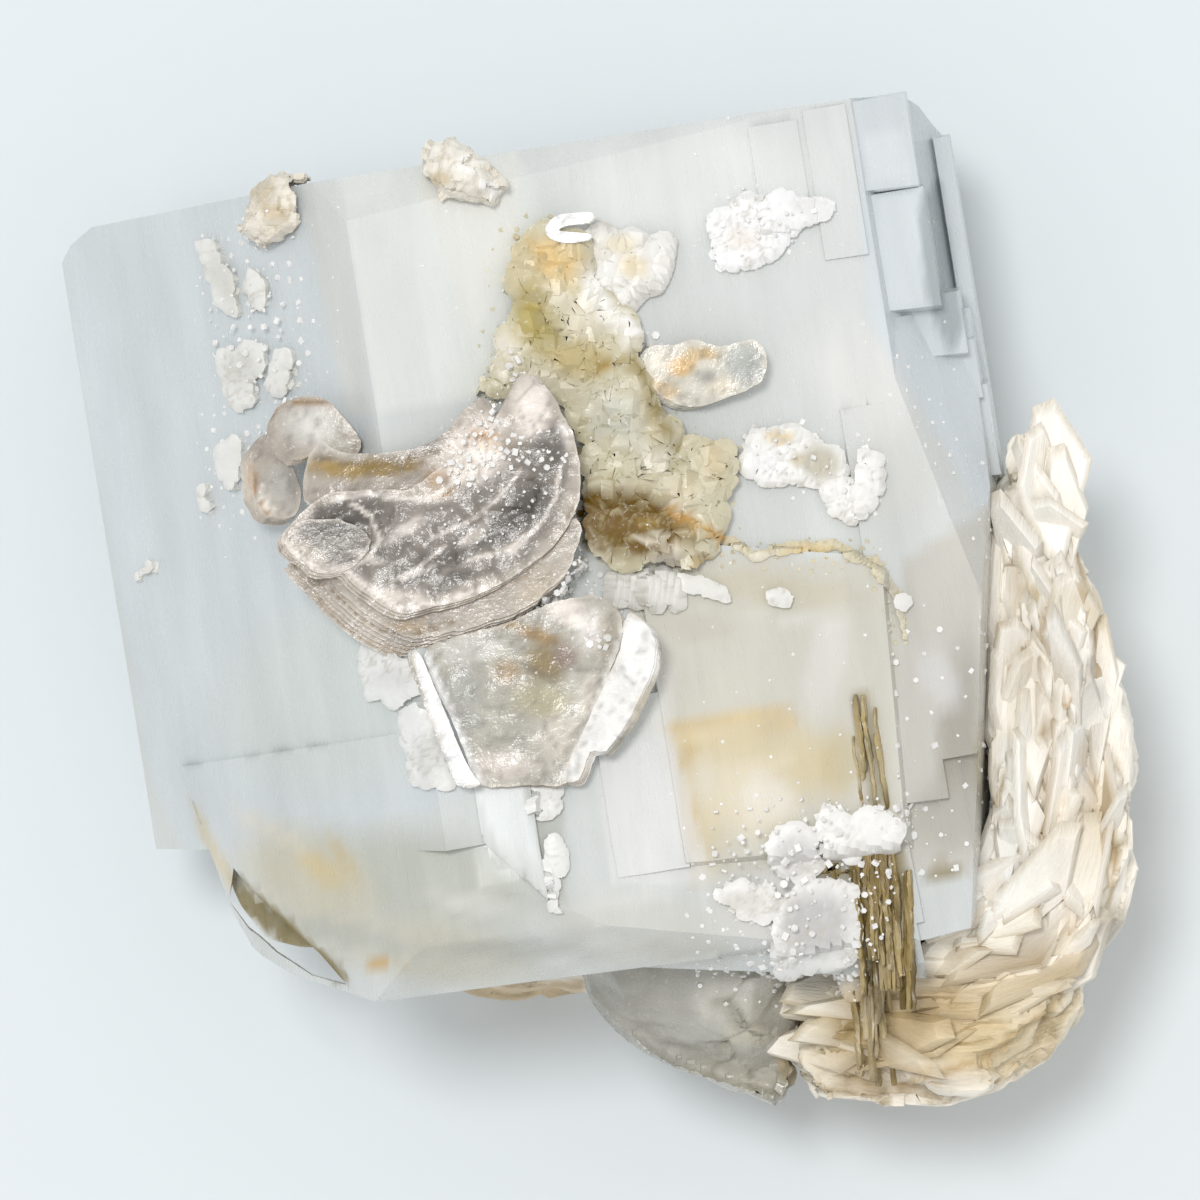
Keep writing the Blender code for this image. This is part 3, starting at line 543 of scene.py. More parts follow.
# %% Cut the crystal into strips and draw its striae
def refined_crystal():
    bm = bmesh.new()
    bm.from_mesh(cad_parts["aquamarine"].data)
    bmesh.ops.remove_doubles(bm, verts=bm.verts, dist=MERGE_DISTANCE)
    bmesh.ops.dissolve_limit(bm, angle_limit=math.radians(0.6), verts=bm.verts, edges=bm.edges)
    turn = Matrix.Rotation(C_AXIS_LEAN, 3, "Z")
    for direction, low, high, step in (((0, 1, 0), -24, 27, 0.75), ((1, 0, 0), -29.5, 26, 0.36)):
        normal = turn @ Vector(direction)
        for i in range(int((high - low) / step)):
            geom = bm.verts[:] + bm.edges[:] + bm.faces[:]
            bmesh.ops.bisect_plane(bm, geom=geom, plane_co=normal * (low + i * step + 0.013) * MM,
                                   plane_no=normal)
    made = bare("beryl_crystal", bm)
    places = places_of(made)
    framed = crystal_frame(places)
    normals = normals_of(made)
    on_prism = 1 - np.abs(crystal_frame(normals)[:, 1])
    lines = cloud(framed * (1, 0.03, 1), (0.6, 1, 0.6), 3)
    bands = cloud(framed * (1, 0.08, 1), (2.0, 1, 2.0), 4)
    right = soft_step(framed[:, 0], 8, 20)
    frosty = soft_step(framed[:, 1], -11, -17) * soft_step(normals[:, 2], 0.2, 0.6)
    plates, _ = facets(framed, (2.4, 3.4, 2.4), 6, 0.5)
    shift = on_prism * (0.025 * lines + 0.05 * bands) * (0.25 + 1.1 * right)
    shift += 0.04 * cloud(framed, (7, 12, 7), 5)
    shift += frosty * (0.07 * plates + 0.05 * cloud(framed, 1.0, 7, 3))
    move_points(made, places + normals * shift[:, None])
    return made


crystal = refined_crystal()
CRYSTAL_STROKES = [
    # the steep left face, bluer at its far edge and greener below
    ("#d6dcde", 1.0, [(60, 230), (338, 178), (376, 412), (330, 520), (430, 650), (478, 790), (300, 850),
                      (190, 860), (150, 780)], 3),
    ("#dae1e4", 0.6, 100, 420, 40, 260, -12),
    ("#d5dad5", 0.8, 330, 700, 150, 120, -20),
    # the narrow strip before the ridge, and the two parts of the face after it
    ("#d9dbd6", 0.9, [(300, 186), (338, 178), (376, 412), (345, 412)], 5),
    ("#e2e5e1", 1.0, [(339, 178), (520, 150), (560, 228), (510, 300), (480, 400), (378, 412)], 3),
    ("#e8e8e2", 0.7, [(418, 178), (520, 150), (520, 235), (472, 342)], 4),
    ("#dadddb", 1.0, [(520, 150), (852, 95), (866, 320), (940, 440), (1000, 600), (900, 600), (700, 545),
                      (600, 400)], 6),
    ("#e9ebe8", 0.7, 700, 180, 150, 60, -8),
    ("#d5d8d6", 0.5, 640, 270, 50, 50, 0),
    ("#d9d9d4", 0.7, 900, 470, 70, 90, 30),
    ("#eceae5", 0.5, 860, 380, 80, 60, 40),
    # the stepped right flank, with a dark panel painted as the floor's shadow seen through the glassy flank
    ("#d8dee1", 1.0, [(852, 94), (910, 88), (950, 128), (1010, 440), (1000, 560), (985, 520), (940, 440),
                      (868, 320)], 3),
    ("#e4e9ec", 0.9, [(862, 138), (905, 134), (910, 186), (872, 184)], 3),
    ("#dfe5e8", 0.8, [(874, 190), (920, 190), (925, 300), (888, 300)], 4),
    ("#a9b1b4", 0.9, [(918, 200), (940, 180), (965, 330), (950, 360), (928, 300)], 4),
    ("#d9dfe2", 0.8, [(945, 130), (957, 150), (1006, 440), (985, 400)], 3),
    # the right column, its frosty foot and olive strip
    ("#cfccc3", 1.0, [(902, 560), (1000, 500), (1000, 870), (902, 870)], 6),
    ("#a9a397", 0.8, 958, 740, 26, 110, 4),
    ("#dcdbd8", 0.8, 940, 680, 22, 40, -30),
    ("#bcb8ae", 0.9, 945, 815, 46, 44, 0),
    ("#a29878", 0.9, 986, 760, 13, 52, 3),
    # the inset block: pale above, a yellow stain with a straight edge below, cream in its middle
    ("#d4d1c5", 1.0, [(600, 560), (720, 552), (880, 560), (902, 620), (905, 830), (690, 890), (650, 640)], 6),
    ("#cdc5ab", 0.6, 780, 590, 110, 22, 6),
    ("#dfe0da", 0.5, 640, 690, 36, 80, 6),
    ("#d9cba6", 0.9, [(666, 726), (740, 718), (790, 720), (836, 740), (842, 790), (800, 796), (760, 780),
                      (730, 830), (704, 872), (688, 820)], 20),
    ("#cdb685", 0.7, [(668, 728), (720, 722), (790, 716)], -12), ("#cbb27c", 0.6, 690, 764, 12, 40, -8),
    ("#e8dcc0", 0.7, 772, 762, 30, 14, -20),
    ("#e6dcc4", 0.9, 745, 800, 60, 46, 20),
    ("#efe9dc", 0.8, 768, 800, 32, 30, 0),
    ("#e4e3dc", 0.6, 826, 664, 26, 70, 12), ("#c6c1b0", 0.5, 694, 628, 50, 16, 4),
    ("#e7e6e0", 0.6, 660, 720, 14, 60, 8),
    ("#c8b98e", 0.6, 840, 760, 24, 40, 0), ("#e2dccb", 0.6, 700, 780, 22, 30, 20),
    ("#d9b878", 0.6, 690, 820, 10, 40, -14),
    ("#e3e2da", 0.6, 800, 620, 60, 8, 6),
    ("#e9d5a8", 0.9, [(668, 728), (792, 710), (792, 720), (672, 740)], 3),
    # the terraces below the mica: lit steps painted lighter, the steep strip between them darker as painted
    # shade
    ("#e9edec", 1.0, [(474, 786), (524, 788), (556, 900), (506, 868)], 2),
    ("#bfc1b9", 0.8, [(524, 788), (562, 786), (566, 900), (550, 900)], 3),
    ("#e3e4e2", 1.0, [(596, 762), (664, 730), (692, 884), (614, 886)], 2),
    ("#e4e1dc", 0.7, [(656, 732), (668, 728), (712, 876), (690, 886)], 3),
    # the lower body: warm towards its left end, frosty to the right
    ("#bfc1b6", 0.9, 420, 880, 160, 60, 8),
    ("#cfc8b0", 0.8, 310, 880, 90, 56, 28),
    ("#cbc6b2", 0.7, 420, 950, 150, 40, 8),
    ("#d2d1c9", 0.8, 640, 930, 130, 50, 0),
    ("#dad8d3", 0.8, 770, 910, 70, 50, 0),
    ("#dcdcd5", 0.7, 480, 905, 60, 14, 10), ("#b9bab0", 0.7, 350, 935, 90, 14, 16),
    ("#b4b4ab", 0.6, 520, 950, 110, 12, 2),
    ("#e0e0dc", 0.6, 620, 900, 60, 12, -4), ("#c1bfb4", 0.6, 690, 950, 70, 12, 0),
    ("#e2dccb", 0.6, 270, 830, 50, 10, 30),
    ("#d9c48f", 0.7, 322, 870, 34, 16, 34),
    ("#cdb98a", 0.6, 345, 860, 8, 34, -30),
    ("#c9a25c", 0.8, 385, 965, 24, 6, 4),
    # the ground behind the mica seam
    ("#8d7a48", 0.9, [(860, 852), (904, 846), (908, 1000), (862, 1000)], 7),
    ("#9a8a5c", 0.8, 832, 874, 28, 14, 0),
    ("#a3966c", 0.6, [(862, 700), (872, 760), (880, 810)], -14), ("#95855a", 0.8, 944, 872, 22, 12, -10),
    # the hollow of the curl, olive-brown with painted shade, and its pale lip
    ("#857744", 1.0, [(226, 870), (250, 888), (300, 930), (352, 978), (340, 984), (280, 944), (240, 910)], 3),
    ("#d8cfb6", 0.9, [(190, 800), (200, 806), (236, 884), (228, 890), (200, 840)], 3),
]
painted(crystal, "#d6dad8", CRYSTAL_STROKES, 1, 5.0, front_only=True, veil=0.10)
finish(crystal, BERYL, ["aquamarine"], sharp=14)

# %% [markdown]
# ## The feldspar
# Potassium feldspar splits along flat planes and breaks into splinters. Here the splinters run down the
# wall and bend round into the fan at its foot. `flow` gives the two directions along and across them, so
# long thin facets laid in those directions follow the bend.

# %% Remesh and splinter the feldspar
# The picture point that the fan turns round, its radius, and where along the splinters the fan ends.
BEND = (955.0, 850.0)
FAN_RADIUS = 95
FAN_END = 150


def flow(places):
    """Across, along and up coordinates of the splinters, in millimetres."""
    spots = seen_at(places) - BEND
    x, y = spots.T
    outside = np.hypot(np.maximum(x, 0), np.maximum(y, 0))
    across = np.where(outside > 0, outside, np.maximum(x, y))
    angle = np.arctan2(np.maximum(y, 0), np.maximum(x, 1e-6))
    along = np.where(y < 0, y, np.where(x < 0, FAN_END - x, angle * FAN_RADIUS))
    return np.c_[across * POINT_MM, along * POINT_MM, places[:, 2]]


def keep_way(obj):
    """Stores the flow coordinates, so the material's fibres follow the splinters."""
    store_vectors(obj, "way", flow(places_of(obj)))


def remeshed(name, nodes, voxel):
    """One even mesh over the copies of some solids."""
    bm = bmesh.new()
    for other in nodes:
        bm.from_mesh(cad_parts[other].data)
    bmesh.ops.remove_doubles(bm, verts=bm.verts, dist=MERGE_DISTANCE)
    made = bare(name, bm)
    grid = made.modifiers.new("grid", "REMESH")
    grid.mode = "VOXEL"
    grid.voxel_size = voxel * MM
    grid.adaptivity = 0.0
    return settle(made)


def splinter(obj, seed, depth, foot_start=0.3):
    """Breaks the surface into long facets; dirt and painted shade darken the cracks. Its flat foot stays."""
    places, normals = places_of(obj), normals_of(obj)
    way = flow(places)
    warp = [cloud(way, (3, 8, 3), seed + 1), cloud(way, (3, 8, 3), seed + 2), cloud(way, 3, seed + 3)]
    way = way + np.stack(warp, axis=1) * 0.7
    slabs, slab_border = facets(way, (2.8, 9.0, 3.0), seed + 4, 1.2)
    splints, border = facets(way, (0.9, 4.5, 1.1), seed + 5, 1.0)
    hairs = cloud(way, (0.3, 3.0, 0.5), seed + 6, 2)
    foot = soft_step(places[:, 2], foot_start, foot_start + 1.5)
    shift = depth * (0.55 * slabs + 0.35 * splints) + 0.06 * hairs - 0.18
    cracks = 1 - soft_step(slab_border, 0.02, 0.12)
    shift = shift - 0.25 * cracks
    move_points(obj, places + normals * (np.clip(shift, -0.9, 0.55) * foot)[:, None])
    # The cracks and facet borders are darkened: brown dirt and painted shade.
    wide_dirt_and_shade = cracks * 0.8 * soft_step(cloud(way, 2.4, seed + 7), -0.3, 0.3)
    fine_dirt_and_shade = 0.45 * (1 - soft_step(border, 0.0, 0.14)) * soft_step(cloud(way, 1.2, seed + 8), 0, 0.5)
    store(obj, "crease", np.clip(wide_dirt_and_shade + fine_dirt_and_shade, 0, 1))


FELDSPAR_STROKES = [
    ("#f6f0e2", 0.9, 1055, 520, 40, 90, -10),
    ("#fffdf6", 0.9, [(1020, 462), (1040, 438), (1052, 452), (1072, 530), (1060, 580), (1030, 572)], 5),
    ("#fffdf7", 0.9, 1066, 632, 22, 40, 0),
    ("#e3d3b3", 0.8, 1096, 610, 12, 34, -20),
    ("#d9c9a6", 0.7, 1040, 590, 26, 10, 10),
    ("#ece2d0", 0.7, 1025, 690, 22, 60, 0),
    ("#fffdf5", 0.9, 1034, 722, 14, 16, 0),
    ("#c9a869", 0.9, 1071, 704, 6, 14, 10),
    ("#c9c4bb", 0.9, [(1082, 660), (1100, 650), (1104, 700), (1092, 770), (1078, 780)], 4),
    ("#cbc5bc", 0.8, 1056, 770, 14, 18, 0),
    ("#fffef8", 0.9, [(1004, 738), (1026, 740), (1030, 800), (1024, 880), (990, 930), (966, 920), (968, 880),
                      (1000, 850)], 6),
    ("#f6eddc", 0.7, 1060, 850, 26, 70, 0),
    ("#eadabb", 0.8, 1100, 840, 24, 60, 0),
    ("#d8cbb0", 0.8, 1112, 930, 22, 34, 20),
    ("#e8d9ba", 0.9, 1010, 1010, 110, 70, 20),
    ("#f5ecd9", 0.8, 1040, 940, 40, 40, 30),
    ("#dbc79d", 0.9, 960, 1040, 90, 46, 10),
    ("#cbb88f", 0.9, 860, 1040, 70, 60, 0),
    ("#d9cdb8", 0.8, 900, 1080, 90, 24, 0),
    ("#efe4cb", 0.9, [(782, 990), (800, 1004), (830, 1030), (820, 1044), (796, 1036)], 4),
    ("#a88f55", 0.8, [(778, 990), (790, 1020), (800, 1060), (788, 1064), (776, 1030)], 4),
    ("#b9a06a", 0.7, 1085, 962, 26, 14, -40),
    ("#a98c58", 0.8, [(1000, 620), (1020, 648), (1056, 677), (1058, 713), (1042, 738)], -6),
    ("#b79b6a", 0.7, [(1072, 530), (1086, 590), (1096, 650), (1100, 720), (1092, 800), (1084, 880),
                      (1070, 940)], -5),
    ("#b49a6c", 0.7, [(1044, 590), (1040, 640), (1048, 676)], -5),
    ("#a88a55", 0.7, [(1046, 760), (1040, 830), (1030, 900), (990, 944), (930, 962)], -5),
    ("#b89c68", 0.7, [(1110, 800), (1116, 870), (1100, 940), (1050, 1010), (980, 1060), (900, 1086)], -5),
    ("#9c7f48", 0.8, [(1060, 940), (1020, 980), (960, 1010), (900, 1030)], -5),
    ("#a98f5c", 0.8, 866, 1030, 44, 60, 0), ("#c0a675", 0.7, 940, 1000, 50, 30, 20),
    ("#8a7340", 0.9, 884, 960, 24, 70, 0),
    ("#fffdf6", 0.9, 1076, 740, 10, 50, 4), ("#fffdf6", 0.8, 1056, 880, 14, 44, 10),
    ("#d0cac0", 0.8, 1108, 930, 18, 34, 24),
    ("#cdb48a", 0.8, [(450, 986), (585, 980), (590, 1002), (520, 1006), (450, 1004)], 6),
]

rock = remeshed("feldspar_rock", ["feldspar_matrix"], 0.34)
splinter(rock, 11, 0.7)
painted(rock, "#fdf7ea", FELDSPAR_STROKES, 12, 5.0)
keep_way(rock)
finish(rock, FELDSPAR, ["feldspar_matrix"], sharp=32)

# %% Splinters that stand proud of the wall
def way_back(across, along):
    """The picture point and the splinters' direction there, from flow coordinates in picture points."""
    if along < 0:
        return (BEND[0] + across, BEND[1] + along), (0, -1)
    if along < FAN_END:
        turn = along / FAN_RADIUS
        sin, cos = math.sin(turn), math.cos(turn)
        return (BEND[0] + across * cos, BEND[1] + across * sin), (-sin, -cos)
    return (BEND[0] - (along - FAN_END), BEND[1] + across), (-1, 0)


def splinters(name, carrier, count, seed, areas, length, width, proud=0.2):
    """Flat pointed blades laid along the flow. areas are (least across, most across, least along, most
    along)."""
    rng = np.random.default_rng(seed)
    points, faces, tones, dirt_and_shade = [], [], [], []
    shares = np.array([(a[1] - a[0]) * (a[3] - a[2]) for a in areas], float)
    corners = 6
    while len(tones) < count * 2 * corners:
        area = areas[rng.choice(len(areas), p=shares / shares.sum())]
        (px, py), (dx, dy) = way_back(rng.uniform(*area[:2]), rng.uniform(*area[2:]))
        place, normal, _, _ = carrier.ray_cast(EYE, (at(px, py) - EYE).normalized())
        tone, reach = rng.uniform(0.90, 1.06), rng.uniform(*length)
        wide, thick = rng.uniform(*width), rng.uniform(0.25, 0.6)
        roll, pitch = rng.normal(0, 0.10), rng.normal(0, 0.02)
        skew, yaw = rng.uniform(0.2, 0.9), rng.normal(0, 0.05)
        up = rng.uniform(-0.42, proud)
        if place is None or normal.z < 0.55:
            continue
        along = Vector((dx, dy, 0))
        along = (along - normal * along.dot(normal)).normalized()
        basis = Matrix((along, normal.cross(along), normal)).transposed()
        for turn, axis in ((yaw, "Z"), (roll, "X"), (pitch, "Y")):
            basis = basis @ Matrix.Rotation(turn, 3, axis)
        half = reach / 2
        ring = [(-half, -wide * 0.2), (-half + skew, -wide * 0.8), (half * 0.2, -wide),
                (half * (0.9 - 0.3 * skew), -wide * 0.5),
                (half, wide * 0.1), (-half * 0.3, wide * 0.9)]
        first = len(points)
        for level, grow in ((thick / 2, 0.9), (-thick / 2, 1.1)):
            for x, y in ring:
                points.append((place + basis @ (Vector((x * grow, y * grow, level + up)) * MM))[:])
                # Each blade's lower corners are darker: painted shade where it meets the rock.
                dirt_and_shade.append(0.0 if level > 0 else 0.5)
                tones.append(tone)
        faces.append([first + i for i in range(corners)])
        faces.append([first + 2 * corners - 1 - i for i in range(corners)])
        for i in range(corners):
            after = (i + 1) % corners
            faces.append([first + i, first + corners + i, first + corners + after, first + after])
    mesh = bpy.data.meshes.new(name)
    mesh.from_pydata(points, [], faces)
    made = bpy.data.objects.new(name, mesh)
    bpy.context.scene.collection.objects.link(made)
    cut = made.modifiers.new("cut", "TRIANGULATE")
    cut.quad_method = "BEAUTY"
    settle(made)
    store(made, "crease", dirt_and_shade)
    return made, np.array(tones)


def face_out(obj):
    """Turns every loose blade's faces outward."""
    bm = bmesh.new()
    bm.from_mesh(obj.data)
    bmesh.ops.recalc_face_normals(bm, faces=bm.faces)
    bm.to_mesh(obj.data)
    bm.free()


rock_tree = BVHTree.FromPolygons([v.co.copy() for v in rock.data.vertices],
                                 [p.vertices[:] for p in rock.data.polygons])
WALL_AND_FAN = [(50, 150, -390, -10), (45, 165, -10, 150), (110, 200, 150, 300)]
large, large_tones = splinters("large_blades", rock_tree, 105, 31, WALL_AND_FAN, (4.0, 11.0), (0.8, 2.1),
                               -0.16)
small, small_tones = splinters("small_blades", rock_tree, 130, 32, WALL_AND_FAN, (1.5, 4.5), (0.2, 0.6),
                               -0.10)
blades, tones = join("feldspar_splinters", [large, small]), np.concatenate([large_tones, small_tones])
face_out(blades)
keep_way(blades)
painted(blades, "#fffaf0", FELDSPAR_STROKES, 14, 4.0, tint=tones[:, None])
finish(blades, FELDSPAR, sharp=12)

# %% The two small feldspar crystals on the top edge
KNOB_STROKES = [
    ("#cbbfa6", 0.8, 262, 190, 16, 20, 0), ("#efe9dc", 0.8, 290, 200, 16, 20, 0),
    ("#fffdf8", 0.9, 470, 168, 16, 14, 0), ("#c9b48a", 0.6, 276, 214, 16, 10, 0),
    ("#d8c196", 0.6, 440, 180, 14, 10, 0), ("#ffffff", 0.8, 488, 190, 14, 10, 30),
]
for number, node_name in enumerate(("feldspar_knob_left", "feldspar_knob_top")):
    knob = remeshed("beige_" + node_name, [node_name], 0.16)
    spots = places_of(knob)
    blocks, border = facets(spots, 1.1, 60 + number, 1.0)
    push = blocks * 0.3 + cloud(spots, 0.5, 61 + number) * 0.08 - 0.12
    move_points(knob, spots + normals_of(knob) * push[:, None])
    # Darker along the facets' borders: painted shade in the cracks.
    store(knob, "crease", 0.25 * (1 - soft_step(border, 0.0, 0.16)))
    painted(knob, ("#ebe4d6", "#eee9dd")[number], KNOB_STROKES, 62 + number)
    keep_way(knob)
    finish(knob, FELDSPAR, [node_name])

# %% [markdown]
# ## The quartz
# The grey quartz under the lower edge has no flat faces here: it shows the curved steps of a conchoidal
# break, and lumps at its right end.

# %% Quartz
quartz = remeshed("grey_quartz", ["quartz"], 0.3)
places = places_of(quartz)
steps = cloud(places, 5.0, 71, 2) * 3
shell = np.abs((steps % 1.0) - 0.5)
blocks, border = facets(places, (2.6, 2.6, 2.6), 73, 0.8)
lumpy = soft_step(seen_at(places)[:, 0], 690, 730)
foot = soft_step(places[:, 2], 3.2, 4.5)
shift = (cloud(places, 1.6, 72, 3) * 0.16 - shell * 0.35) * (1 - lumpy) + lumpy * (blocks * 0.4 - 0.1)
move_points(quartz, places + normals_of(quartz) * (shift * foot)[:, None])
# Darker between the lumps at its right end: painted shade.
store(quartz, "crease", lumpy * 0.6 * (1 - soft_step(border, 0.0, 0.14)))
painted(quartz, "#b3b1a8", [
    ("#a3a096", 0.8, 620, 1020, 40, 40, 40), ("#c9c7bc", 0.9, 730, 1010, 46, 34, 10),
    ("#cfc9b4", 0.7, 745, 1035, 30, 14, 0),
    ("#dddbd4", 0.8, 758, 985, 26, 14, 0), ("#c2beb0", 0.8, 740, 1080, 70, 24, 10),
    ("#b59e6c", 0.7, 790, 1060, 14, 30, 0),
], 74)
finish(quartz, QUARTZ, ["quartz"], sharp=40)

# %% [markdown]
# ## Crusts and grains
# Sugary albite is a crowd of tiny blocky crystals. `crust` drapes a patch of small facets over whatever
# lies under it. Loose grains come from Geometry Nodes: points that keep their distance, one of two small
# shapes on each, a random turn and size, and then real geometry from all of it.

# %% A draped crust
def crust(name, outline, thick, grain=14.0, step=3.0, rough=0.6, seed=0, carrier=ground, edge=5.0, rag=3.0,
          wall=0.4,
          lift=None):
    """A thin growth that follows the surface under it. thick and wall are its height and depth in
    millimetres; the grains' size, the mesh step, the width of its rim and its raggedness are in picture
    points."""
    drawn = ragged(outline, rag, seed)
    bm = flat_patch(drawn, step)
    spots = np.array([v.co.xy[:] for v in bm.verts])
    flat = np.c_[spots, np.zeros(len(spots))]
    blocks, border = facets(flat, (grain, grain, 400.0), seed, 0.9)
    crumbs, _ = facets(flat, (grain * 0.4, grain * 0.4, 400.0), seed + 1, 0.9)
    rim = soft_step(edge_distance(spots, drawn), 0, edge)
    lumps = cloud(flat, (grain * 1.6, grain * 1.6, 400.0), seed + 4, 3)
    fine = cloud(flat, (grain * 0.55, grain * 0.55, 400.0), seed + 6)
    relief = 0.3 * blocks + 0.2 * crumbs + 0.35 * lumps + 0.3 * fine
    high = np.clip(0.6 + rough * relief, 0.05, 2.0) * (0.05 + 0.95 * rim)
    high = high * (lift(spots) if lift else 1.0) * thick
    for vert, up in zip(bm.verts, high):
        place, normal = lay(vert.co.x, vert.co.y, carrier)
        vert.co = place + normal * up * MM
    made = bare(name, bm)
    # Darker along the grains' borders, in patches: painted shade between the grains.
    dirt_and_shade = 0.8 * (1 - soft_step(border, 0.0, 0.14)) * soft_step(cloud(flat, 30, seed + 2), -0.4, 0.3)
    store(made, "crease", dirt_and_shade)
    solid = made.modifiers.new("wall", "SOLIDIFY")
    solid.thickness = (thick + wall) * MM
    solid.offset = -1
    return settle(made)


# %% The grain scatter
def new_tree(name, inputs):
    """A Geometry Nodes tree with named inputs after its geometry, and the sockets that they give."""
    tree = bpy.data.node_groups.new(name, "GeometryNodeTree")
    face = tree.interface
    face.new_socket("Geometry", in_out="INPUT", socket_type="NodeSocketGeometry")
    for label, kind, value in inputs:
        socket = face.new_socket(label, in_out="INPUT", socket_type="NodeSocket" + kind)
        if value is not None:
            socket.default_value = value
    face.new_socket("Geometry", in_out="OUTPUT", socket_type="NodeSocketGeometry")
    return tree, node(tree, "NodeGroupInput").outputs


def make_real(tree, placed, material):
    """Ends a tree: its instances become real geometry with one material."""
    real = node(tree, "GeometryNodeRealizeInstances", {0: placed.outputs[0]})
    coated = node(tree, "GeometryNodeSetMaterial", {"Geometry": real.outputs[0], "Material": material})
    node(tree, "NodeGroupOutput", {0: coated.outputs[0]})


def grain_tree():
    """Scatters small blocks and six-sided prisms over a surface."""
    tree, given = new_tree("mineral_grains", [
        ("Spacing", "Float", 0.0006), ("Smallest", "Float", 0.0002), ("Largest", "Float", 0.0008),
        ("Flat", "Float", 0.6),
        ("Long", "Float", 1.0), ("Seed", "Int", 1), ("Material", "Material", None)])
    points = node(tree, "GeometryNodeDistributePointsOnFaces",
                  {"Mesh": given["Geometry"], "Distance Min": given["Spacing"], "Density Max": 6.0e6,
                   "Density Factor": 1.0, "Seed": given["Seed"]}, distribute_method="POISSON")
    block = node(tree, "GeometryNodeMeshCube", {"Size": (1.0, 0.8, 0.8)})
    tip = node(tree, "GeometryNodeMeshCylinder", {"Vertices": 6, "Radius": 0.55, "Depth": 0.9})
    kinds = node(tree, "GeometryNodeGeometryToInstance", {"Geometry": block.outputs["Mesh"]})
    tree.links.new(tip.outputs["Mesh"], kinds.inputs["Geometry"])
    size = node(tree, "FunctionNodeRandomValue",
                {2: given["Smallest"], 3: given["Largest"], "Seed": given["Seed"]},
                data_type="FLOAT")
    squash = node(tree, "ShaderNodeCombineXYZ", {"X": given["Long"], "Y": 1.0, "Z": given["Flat"]})
    scaled = node(tree, "ShaderNodeVectorMath", {0: squash.outputs[0], "Scale": size.outputs[1]},
                  operation="SCALE")
    spin = node(tree, "FunctionNodeRandomValue",
                {0: (-0.5, -0.5, 0.0), 1: (0.5, 0.5, 6.283), "Seed": given["Seed"]},
                data_type="FLOAT_VECTOR")
    turned = node(tree, "FunctionNodeRotateRotation", {0: points.outputs["Rotation"], 1: spin.outputs[0]})
    turned.rotation_space = "LOCAL"
    placed = node(tree, "GeometryNodeInstanceOnPoints",
                  {"Points": points.outputs["Points"], "Instance": kinds.outputs[0], "Pick Instance": True,
                   "Rotation": turned.outputs[0], "Scale": scaled.outputs[0]})
    make_real(tree, placed, given["Material"])
    return tree


GRAINS = grain_tree()


def nodes_modifier(obj, tree, values):
    """Adds a Geometry Nodes modifier and sets its named inputs."""
    made = obj.modifiers.new(tree.name, "NODES")
    made.node_group = tree
    for item in tree.interface.items_tree:
        if item.in_out == "INPUT" and item.name in values:
            made[item.identifier] = values[item.name]


def grains(name, outline, material, seed, spacing=0.7, smallest=0.25, largest=0.8, flat=0.6, long=1.0,
           lift=0.0,
           carrier=everything, step=8.0):
    """Grains over the part of the surface inside an outline of picture points. Sizes are in millimetres."""
    bm = flat_patch([tuple(p) for p in smooth_outline(outline, 2)], step)
    for vert in bm.verts:
        place, normal = lay(vert.co.x, vert.co.y, carrier)
        vert.co = place + normal * lift * MM
    bmesh.ops.triangulate(bm, faces=bm.faces)
    bmesh.ops.reverse_faces(bm, faces=[f for f in bm.faces if f.normal.z < 0])
    made = bare(name, bm)
    nodes_modifier(made, GRAINS, {"Spacing": spacing * MM, "Smallest": smallest * MM, "Largest": largest * MM,
                                  "Flat": flat, "Long": long, "Seed": seed, "Material": material})
    return settle(made)


# %% Albite crusts
def sugar(name, node_name, outlines, seed, strokes, base, thick, grain, spacing=0.5, largest=1.0):
    """An albite crust with loose grains on and around it, in place of its plain solid."""
    parts = []
    for i, outline in enumerate(outlines):
        parts.append(crust(f"{name}_bed_{i}", outline, thick * 0.5, grain * 0.7, 2.4, seed=seed + 3 * i,
                           rag=7.0, edge=2.0))
        parts.append(grains(f"{name}_grains_{i}", outline, ALBITE, seed + i, spacing, 0.3, largest, 0.45,
                            carrier=ground, lift=thick * 0.25))
    made = join(name, parts)
    painted(made, base, strokes, seed)
    finish(made, ALBITE, [node_name], sharp=24)


sugar("albite_crust_top", "albite_top",
      [[(584, 240), (600, 234), (618, 240), (640, 234), (650, 246), (664, 240), (664, 262), (656, 284),
        (640, 286),
        (632, 300), (610, 300), (596, 286), (580, 268)]], 81,
      [("#f1e4c4", 0.8, 622, 244, 20, 14, 0), ("#f0dfb8", 0.8, 632, 268, 18, 16, 0),
       ("#ebe6d8", 0.7, 596, 252, 14, 20, 0)],
      base="#faf8f2", thick=0.8, grain=17)
sugar("albite_crust_right", "albite_patch",
      [[(710, 214), (732, 208), (740, 200), (749, 191), (760, 204), (786, 197), (797, 211), (791, 233),
        (783, 250),
        (746, 261), (730, 270), (716, 264), (711, 236)],
        [(780, 200), (806, 198), (828, 207), (822, 218), (797, 226), (782, 216)]],
      84, [("#ecebe8", 0.8, 810, 208, 22, 12, 10), ("#f8eee2", 0.6, 742, 238, 22, 14, 0)], base="#ffffff",
      thick=0.35,
      grain=11, spacing=0.7, largest=1.1)
